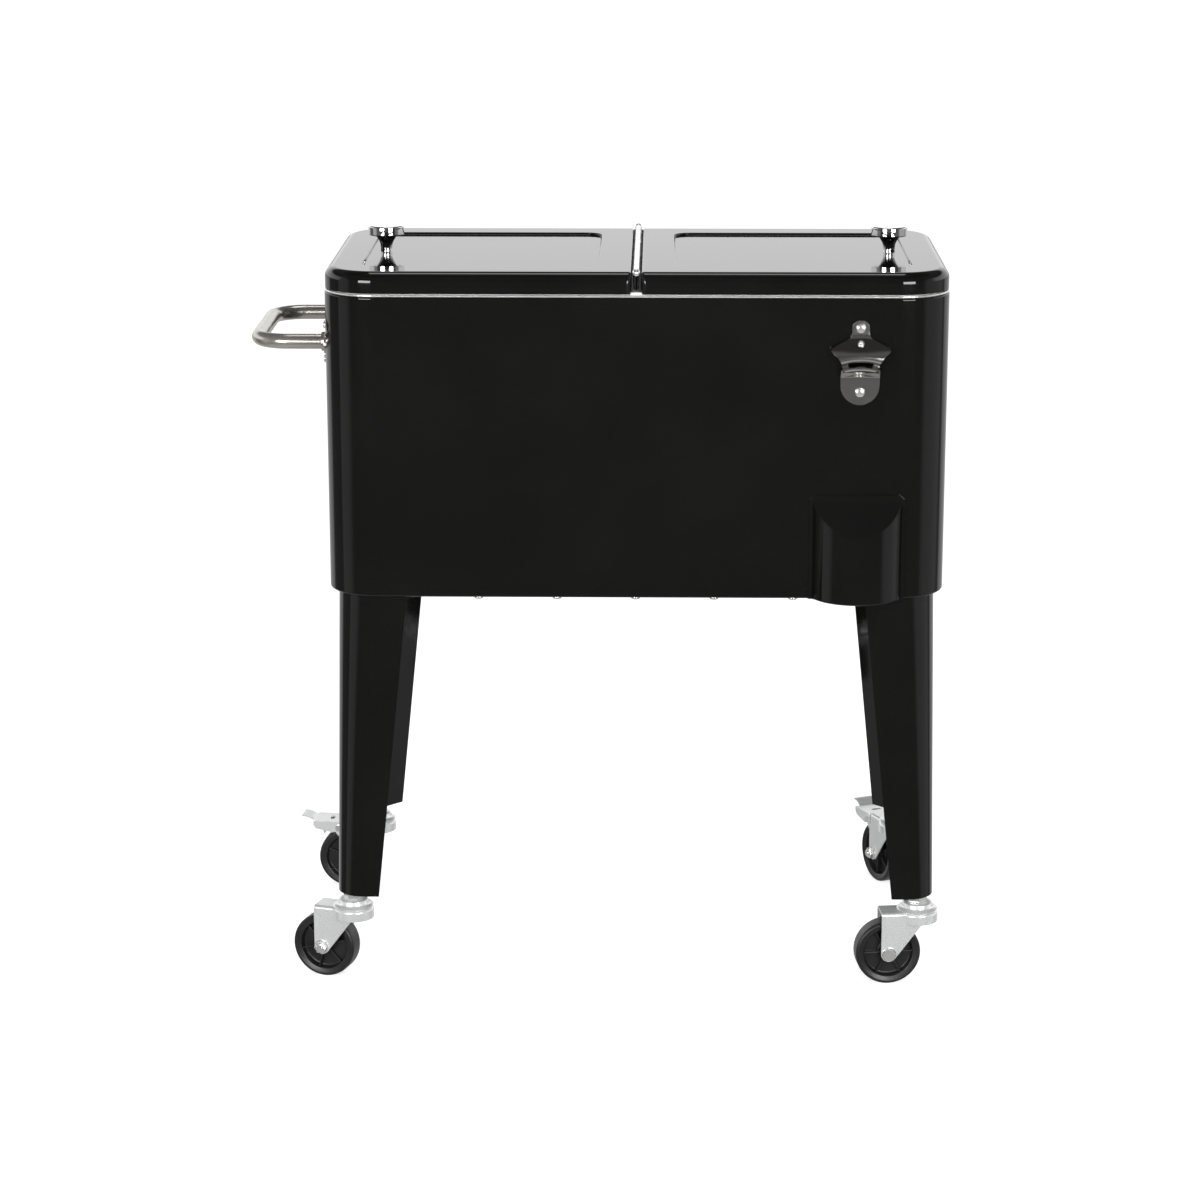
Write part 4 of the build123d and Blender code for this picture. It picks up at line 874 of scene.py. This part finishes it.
def build_fork(braked):
    """Pressed fork with the stem at the origin, trailing along X: a crown with a rolled skirt, two cheeks."""
    pick_nothing()
    bpy.ops.mesh.primitive_cylinder_add(vertices=96, radius=22 * MM, depth=12 * MM, location=(0, 0, 75 * MM))
    fork = bpy.context.object
    settle(fork)
    split(fork, (16.093 * MM, 0, 0), (1, 0, 0))
    edit(fork)
    choose(fork, "FACE", lambda f: f.normal.x > 0.9 and f.calc_center_median().x > 16 * MM)
    draw_out(((38 if braked else 40.5) - 16.093) * MM, 0, 0)
    bpy.ops.mesh.delete(type="FACE")
    choose(fork, "EDGE", lambda e: upright(e) and abs(e.verts[0].co.x - 16.093 * MM) < 1e-5)
    bpy.ops.mesh.bevel(offset=5 * MM, segments=6, affect="EDGES")
    choose(fork, "EDGE", lambda e: at_height(81)(e) and len(e.link_faces) == 2
           and e.calc_face_angle(0) > 1)
    bpy.ops.mesh.bevel(offset=3.4 * MM, segments=6, affect="EDGES")
    drop_faces(fork, at_height(69))
    done()
    face_outwards(fork)
    give_wall(fork, 2.0)
    smooth(fork)
    pieces = [fork]
    for hand in (-1, 1):
        low, high = sorted((hand * 13.02, hand * 14.98))
        reach = 40.5
        cheek = block("cheek", (-12 * MM, low * MM, 26.5 * MM), (reach * MM, high * MM, 78 * MM))
        split(cheek, (-2 * MM, 0, 66 * MM), (-0.7986, 0, -0.6018))
        bevel(cheek, "EDGE", lambda e: cross_edge(e) and middle(e).x > 40 * MM and middle(e).z < 30 * MM,
              8.5 * MM, 10)
        bevel(cheek, "EDGE", lambda e: cross_edge(e) and 26 * MM < middle(e).x < 29 * MM
              and middle(e).z < 30 * MM, 4.24 * MM, 6)
        if braked:
            ear = block("ear", (38 * MM, low * MM, 60 * MM), (46.8 * MM, high * MM, 77.6 * MM))
            split(ear, (40.5 * MM, 0, 60 * MM), (0.743, 0, -0.669))
            bevel(ear, "EDGE", lambda e: cross_edge(e) and middle(e).x > 44 * MM, 2.2 * MM, 4)
            bevel(ear, "EDGE", lambda e: not cross_edge(e), 0.3 * MM, 2)
            smooth(ear)
            pieces.append(ear)
        bevel(cheek, "EDGE", lambda e: not cross_edge(e), 0.35 * MM, 2)
        smooth(cheek)
        pieces.append(cheek)
    return join("fork", pieces)


def cross_edge(edge):
    """An edge that runs across a cheek's thickness."""
    a, b = edge.verts
    return abs(a.co.x - b.co.x) + abs(a.co.z - b.co.z) < 1e-6


def build_axle():
    """Bolt through the wheel: hexagon head and washer on one side, nut and bolt end on the other."""
    head = move(build_hex(6.6, 4.0, 0.9), (TRAIL * MM, 15 * MM, WHEEL_R * MM), turn=0.26, pointing=(0, 1, 0))
    nut = move(build_hex(6.6, 5.2, 0.8), (TRAIL * MM, -15 * MM, WHEEL_R * MM), turn=0.0, pointing=(0, -1, 0))
    shaft = turned("shaft", ((4.0, -15), (4.0, 22.2), (3.3, 23), (0.4, 23)), 32)
    smooth(shaft, 40)
    move(shaft, (TRAIL * MM, 0, WHEEL_R * MM), pointing=(0, -1, 0))
    return join("axle", [head, nut, shaft])


STEM = (
    (0.5, 74.0), (8.2, 74.2), (9.0, 75.0), (9.0, 76.5), (7.5, 78.2), (6.0, 78.2), (6.0, 81.3), (20.4, 81.3),
    (21.5, 81.6), (22.0, 82.1), (21.6, 82.8), (20.6, 83.3), (18.6, 83.7), (17.6, 84.3), (16.9, 85.4),
    (16.4, 87.2), (16.1, 88.6), (15.6, 89.3), (14.6, 89.7), (12.0, 90.0), (5.0, 90.0), (5.0, 116.0),
    (0.5, 116.0),
)


def build_casters():
    wheel = build_wheel()
    plain_fork, braked_fork = build_fork(False), build_fork(True)
    axle = build_axle()
    stem = turned("stem", STEM, 64)
    smooth(stem, 40)
    nut = build_hex(10.5, 6.4)
    stems, nuts = [], []
    for name, (sx, sy, angle, braked) in CASTERS.items():
        foot = at(sx * STEM_X, sy * STEM_Y, 0)
        turn = radians(angle)
        along = Vector((cos(turn), sin(turn), 0))
        fork = move(again(braked_fork if braked else plain_fork, name + "_pressed_fork"), foot, turn=turn)
        finish(fork, name + "_swivel", "zinc_plate", zinc, name + "_fork")
        bolt = again(axle, name + "_bolt")
        if NUT_SIDE[name] < 0:
            move(bolt, (2 * TRAIL * MM, 0, 0), turn=pi)
        move(bolt, foot, turn=turn)
        finish(bolt, name + "_swivel", "zinc_plate", screw_metal, name + "_axle")
        roller = again(wheel, name + "_roller")
        move(roller, turn=0.35 + 0.4 * sx + 0.2 * sy)
        move(roller, foot + along * TRAIL * MM + Vector((0, 0, WHEEL_R * MM)),
             pointing=(-along.y, along.x, 0))
        finish(roller, name + "_wheel", "wheel_black", wheel_black, name + "_wheel")
        stems.append(move(again(stem, "stem"), foot))
        nuts.append(move(again(nut, "nut"), foot + Vector((0, 0, 90 * MM)), turn=0.3 * sx + 0.2 * sy))
        if braked:
            carry(name + "_brake_lever", zinc)
            carry(name + "_brake_pin", screw_metal)
    finish(join("caster_stem_set", stems), "cabinet", "zinc_plate", zinc, "caster_stems")
    finish(join("stem_nut_set", nuts), "cabinet", "zinc_plate", screw_metal, "stem_nuts")
    for model in (wheel, plain_fork, braked_fork, axle, stem, nut):
        remove(model)


def carry(node, paint):
    """Keeps a CAD node as it is, with a finish of its own."""
    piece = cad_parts[node]
    piece.data.materials.clear()
    piece.data.materials.append(paint)


# ---------------------------------------------------------------- drain
def build_drain():
    spot = at(190, 30, 0)
    spout = turned("drain_pipe", (
        (8, 404), (11.4, 404), (12, 404.6), (12, 452.7), (18, 452.7), (18, 453.6), (17.3, 454.3),
        (9.4, 454.5), (8.3, 453.8), (8, 452.8), (8, 404)), 48, closed=True)
    smooth(spout)
    finish(move(spout, spot), "cabinet", "drain_plastic", drain_black, "drain_spout")
    lock = build_hex(19, 6.6)
    finish(move(again(lock, "drain_lock_nut"), spot + Vector((0, 0, 430.2 * MM)), pointing=(0, 0, -1)),
           "cabinet", "drain_plastic", drain_black, "drain_nut")
    remove(lock)
    cap = turned("drain_screw_cap", (
        (12.08, 418), (14.6, 418), (15, 417.6), (15, 403.2), (14.5, 402), (13.4, 401.4), (9, 401.4),
        (8.4, 401.9), (0.5, 401.9)), 72)
    edit(cap)
    choose(cap, "FACE", lambda f: abs(f.normal.z) < 0.1 and f.calc_center_median().z > 404 * MM
           and int(atan2(f.calc_center_median().y, f.calc_center_median().x) * 36 / pi + 72.01) % 4 == 0)
    bpy.ops.mesh.inset(thickness=0.15 * MM, depth=-0.7 * MM, use_individual=True)
    done()
    smooth(cap)
    finish(move(cap, spot), "drain_cap", "drain_plastic", drain_black, "drain_cap")


# ---------------------------------------------------------------- hinge
KNUCKLE_OWNER = ("fixed", "left", "right", "left", "fixed", "right", "left", "right", "fixed")


def build_hinge():
    """Leaves on the lids and the bar, made near-black to paint the shade in the gaps beside the rod, with
    bright knuckles in turn along the rod.
    """
    knuckle = turned("knuckle", (
        (1.77, 0), (2.6, 0), (3.0, 0.4), (3.0, KNUCKLE - 0.4), (2.6, KNUCKLE), (1.77, KNUCKLE), (1.77, 0)),
        32, closed=True)
    smooth(knuckle)
    for owner, side in (("left", -1), ("right", 1), ("fixed", 0)):
        if side:
            near, far = sorted((side * 3.2, side * 4.6))
            plates = [block("leaf", at(near, -162, 750.9), at(far, 162, 768.9))]
        else:
            plates = [block("leaf", at(-0.7, -149.2, 749.5), at(0.7, 149.2, 767.0))]
        knuckles = []
        for index, name in enumerate(KNUCKLE_OWNER):
            if name != owner:
                continue
            front = -161.75 + 36 * index
            knuckles.append(move(again(knuckle, "knuckle"), at(0, front, HINGE_Z), pointing=(0, 1, 0)))
            if side:
                near, far = sorted((side * 1.9, side * 3.2))
                plates.append(block("neck", at(near, front, 767.5), at(far, front + KNUCKLE, 768.9)))
            else:
                plates.append(block("neck", at(-0.7, front, 767.0), at(0.7, front + KNUCKLE, 768.2)))
        body = owner + "_lid" if side else "cabinet"
        node = owner + "_hinge_leaf" if side else "hinge_centre_leaf"
        # The leaves' near-black finish is painted shade for the gaps beside the rod.
        finish(join(owner + "_leaf_plate", plates), body, "black_paint", leaf_painted_gap_shade, node)
        finish(join(owner + "_knuckles", knuckles), body, "hinge_rod_white", rod_steel)
    remove(knuckle)


# ---------------------------------------------------------------- everything in its order
build_wall()
build_rim_trim()
build_tub()
both_lids(build_lid_pan(), "lid_pan", "black_paint", black_coat, "lid_skin")
both_lids(build_lid_inside(), "lid_inside", "white_plastic", tub_white, "lid_liner")
both_lids(build_lid_seal(), "lid_gasket", "seal_rubber", seal_black, "lid_seal")
both_lids(build_knob(), "round_knob", "chrome", chrome, "knob")
both_lids(build_knob_screw(), "knob_fixing", "screw_steel", screw_metal, "knob_screw")
build_opener()
build_catcher()
build_screws()
build_handle()
build_legs()
build_casters()
build_drain()
build_hinge()

for node, paint in (("bottom_panel", galvanised), ("leg_sockets", galvanised),
                    ("foam_insulation", foam_cream), ("left_lid_foam", foam_cream),
                    ("right_lid_foam", foam_cream), ("centre_bar", tub_white), ("hinge_pin", rod_steel)):
    carry(node, paint)


# ---------------------------------------------------------------- floor, light and camera
def light_path_floor():
    """Pale floor that keeps the shadow, is white to the camera and lets reflections show the studio."""
    paint, nodes, links, shader = new_finish("studio_floor")
    nodes.remove(shader)
    output = nodes["Material Output"]
    path = nodes.new("ShaderNodeLightPath")
    diffuse = nodes.new("ShaderNodeBsdfDiffuse")
    diffuse.inputs["Color"].default_value = (0.80, 0.80, 0.80, 1)
    glow = nodes.new("ShaderNodeEmission")
    glow.inputs["Strength"].default_value = 0.62
    lit = nodes.new("ShaderNodeAddShader")
    clear = nodes.new("ShaderNodeBsdfTransparent")
    camera_mix = nodes.new("ShaderNodeMixShader")
    gloss_mix = nodes.new("ShaderNodeMixShader")
    links.new(diffuse.outputs[0], lit.inputs[0])
    links.new(glow.outputs[0], lit.inputs[1])
    links.new(path.outputs["Is Camera Ray"], camera_mix.inputs["Fac"])
    links.new(diffuse.outputs[0], camera_mix.inputs[1])
    links.new(lit.outputs[0], camera_mix.inputs[2])
    links.new(path.outputs["Is Glossy Ray"], gloss_mix.inputs["Fac"])
    links.new(camera_mix.outputs[0], gloss_mix.inputs[1])
    links.new(clear.outputs[0], gloss_mix.inputs[2])
    links.new(gloss_mix.outputs[0], output.inputs["Surface"])
    return paint


pick_nothing()
bpy.ops.mesh.primitive_plane_add(size=40, location=(0, 0, 0))
floor = bpy.context.object
floor.name = "floor"
settle(floor)
floor.data.materials.append(light_path_floor())

# The studio that reflections see: a pale backdrop behind the cooler, low over the horizon and dark
# above, a dimmer ground below it, and a softer panel to each side.
BAND_STRENGTH = 1.55
SIDE_STRENGTH = 0.5
GROUND_STRENGTH = 0.8
DARK_STRENGTH = 0.05
world = bpy.data.worlds.new("studio")
bpy.context.scene.world = world
world.use_nodes = True
sky = world.node_tree.nodes
ties = world.node_tree.links
sky.clear()
output = sky.new("ShaderNodeOutputWorld")
path = sky.new("ShaderNodeLightPath")
place = sky.new("ShaderNodeTexCoord")
parts = sky.new("ShaderNodeSeparateXYZ")
ties.new(place.outputs["Generated"], parts.inputs["Vector"])


def ramp(value, stops):
    """Strength by direction: stops are (direction part, strength)."""
    spread = sky.new("ShaderNodeMapRange")
    spread.inputs["From Min"].default_value = -1
    spread.inputs["From Max"].default_value = 1
    curve = sky.new("ShaderNodeValToRGB")
    elements = curve.color_ramp.elements
    top = max(strength for position, strength in stops)
    while len(elements) < len(stops):
        elements.new(0.5)
    for element, (position, strength) in zip(elements, stops):
        element.position = (position + 1) / 2
        element.color = (strength / top,) * 3 + (1,)
    ties.new(value, spread.inputs["Value"])
    ties.new(spread.outputs["Result"], curve.inputs["Fac"])
    scale = sky.new("ShaderNodeMath")
    scale.operation = "MULTIPLY"
    scale.inputs[1].default_value = top
    ties.new(curve.outputs["Color"], scale.inputs[0])
    return scale.outputs[0]


def combine(operation, first, second):
    """Two strengths multiplied, or the larger of the two."""
    both = sky.new("ShaderNodeMath")
    both.operation = operation
    ties.new(first, both.inputs[0])
    ties.new(second, both.inputs[1])
    return both.outputs[0]


to_right, to_back, upward = (parts.outputs[axis] for axis in "XYZ")
backdrop = combine("MULTIPLY",
                   ramp(upward, ((-0.02, DARK_STRENGTH), (0.0, BAND_STRENGTH), (0.34, BAND_STRENGTH),
                                 (0.46, DARK_STRENGTH))),
                   ramp(to_back, ((-0.25, 0.03), (0.05, 1.0))))
ground_behind = combine("MULTIPLY", ramp(upward, ((-0.04, GROUND_STRENGTH), (0.0, 0.0))),
                        ramp(to_back, ((0.5, 0.0), (0.62, 1.0))))
left_panel = combine("MULTIPLY", ramp(to_right, ((-0.92, SIDE_STRENGTH), (-0.80, 0.0))),
                     ramp(to_back, ((-0.02, 1.0), (0.06, 0.0))))
right_panel = ramp(to_right, ((0.80, 0.0), (0.92, SIDE_STRENGTH)))
room = ramp(upward, ((-0.8, 0.55), (-0.5, 0.16), (-0.1, 0.13), (0.05, 0.10), (0.5, 0.08), (0.7, 0.14),
                     (0.82, 0.03), (0.93, 0.03), (1.0, 0.2)))
studio_strength = room
for panel in (backdrop, ground_behind, left_panel, right_panel):
    studio_strength = combine("MAXIMUM", studio_strength, panel)

studio = sky.new("ShaderNodeBackground")
ties.new(studio_strength, studio.inputs["Strength"])
plain = sky.new("ShaderNodeBackground")
plain.inputs["Color"].default_value = (1, 1, 1, 1)
plain.inputs["Strength"].default_value = 0.55
white = sky.new("ShaderNodeBackground")
white.inputs["Strength"].default_value = 1.0
white.inputs["Color"].default_value = (1, 1, 1, 1)
gloss_mix = sky.new("ShaderNodeMixShader")
camera_mix = sky.new("ShaderNodeMixShader")
ties.new(path.outputs["Is Glossy Ray"], gloss_mix.inputs["Fac"])
ties.new(plain.outputs[0], gloss_mix.inputs[1])
ties.new(studio.outputs[0], gloss_mix.inputs[2])
ties.new(path.outputs["Is Camera Ray"], camera_mix.inputs["Fac"])
ties.new(gloss_mix.outputs[0], camera_mix.inputs[1])
ties.new(white.outputs[0], camera_mix.inputs[2])
ties.new(camera_mix.outputs[0], output.inputs["Surface"])


def soft_light(name, azimuth, height, distance, width, tall, strength):
    """A soft panel facing the cabinet. Azimuth 0 is straight in front, 90 on its right."""
    target = Vector((CENTRE_X, CENTRE_Y, 0.65))
    spot = Vector((CENTRE_X + distance * sin(radians(azimuth)),
                   CENTRE_Y - distance * cos(radians(azimuth)), height))
    pick_nothing()
    bpy.ops.object.light_add(type="AREA", location=spot)
    lamp = bpy.context.object
    lamp.name = name
    lamp.data.shape = "RECTANGLE"
    lamp.data.size = width
    lamp.data.size_y = tall
    lamp.data.energy = strength * width * tall * pi
    lamp.rotation_euler = (spot - target).to_track_quat("Z", "Y").to_euler()
    return lamp


soft_light("left_panel", -28, 0.95, 3.0, 1.3, 1.1, 12)
soft_light("right_panel", 28, 0.95, 3.0, 1.3, 1.1, 12)
soft_light("top_panel", 180, 4.2, 1.0, 1.6, 1.2, 3)

# The camera stands a little right of the cabinet's middle and looks down on it
CAMERA_X = 24.6 * MM
CAMERA_Y = -3482.0 * MM
CAMERA_Z = 1278.7 * MM
CAMERA_YAW = 0.0186
CAMERA_PITCH = 0.2517
CAMERA_ROLL = 0.0006
LENS = 98.34
pick_nothing()
bpy.ops.object.camera_add(location=(CENTRE_X + CAMERA_X, CENTRE_Y + CAMERA_Y, CAMERA_Z))
camera = bpy.context.object
camera.name = "camera"
camera.rotation_mode = "XYZ"
look = Matrix.Rotation(CAMERA_YAW, 4, "Z") @ Matrix.Rotation(pi / 2 - CAMERA_PITCH, 4, "X")
camera.matrix_world = (Matrix.Translation(camera.location)
                       @ look @ Matrix.Rotation(-CAMERA_ROLL, 4, "Z"))
camera.data.lens = LENS
camera.data.sensor_width = 36
camera.data.sensor_fit = "HORIZONTAL"
camera.data.clip_end = 100
bpy.context.scene.camera = camera
bpy.context.scene.view_settings.view_transform = "Standard"
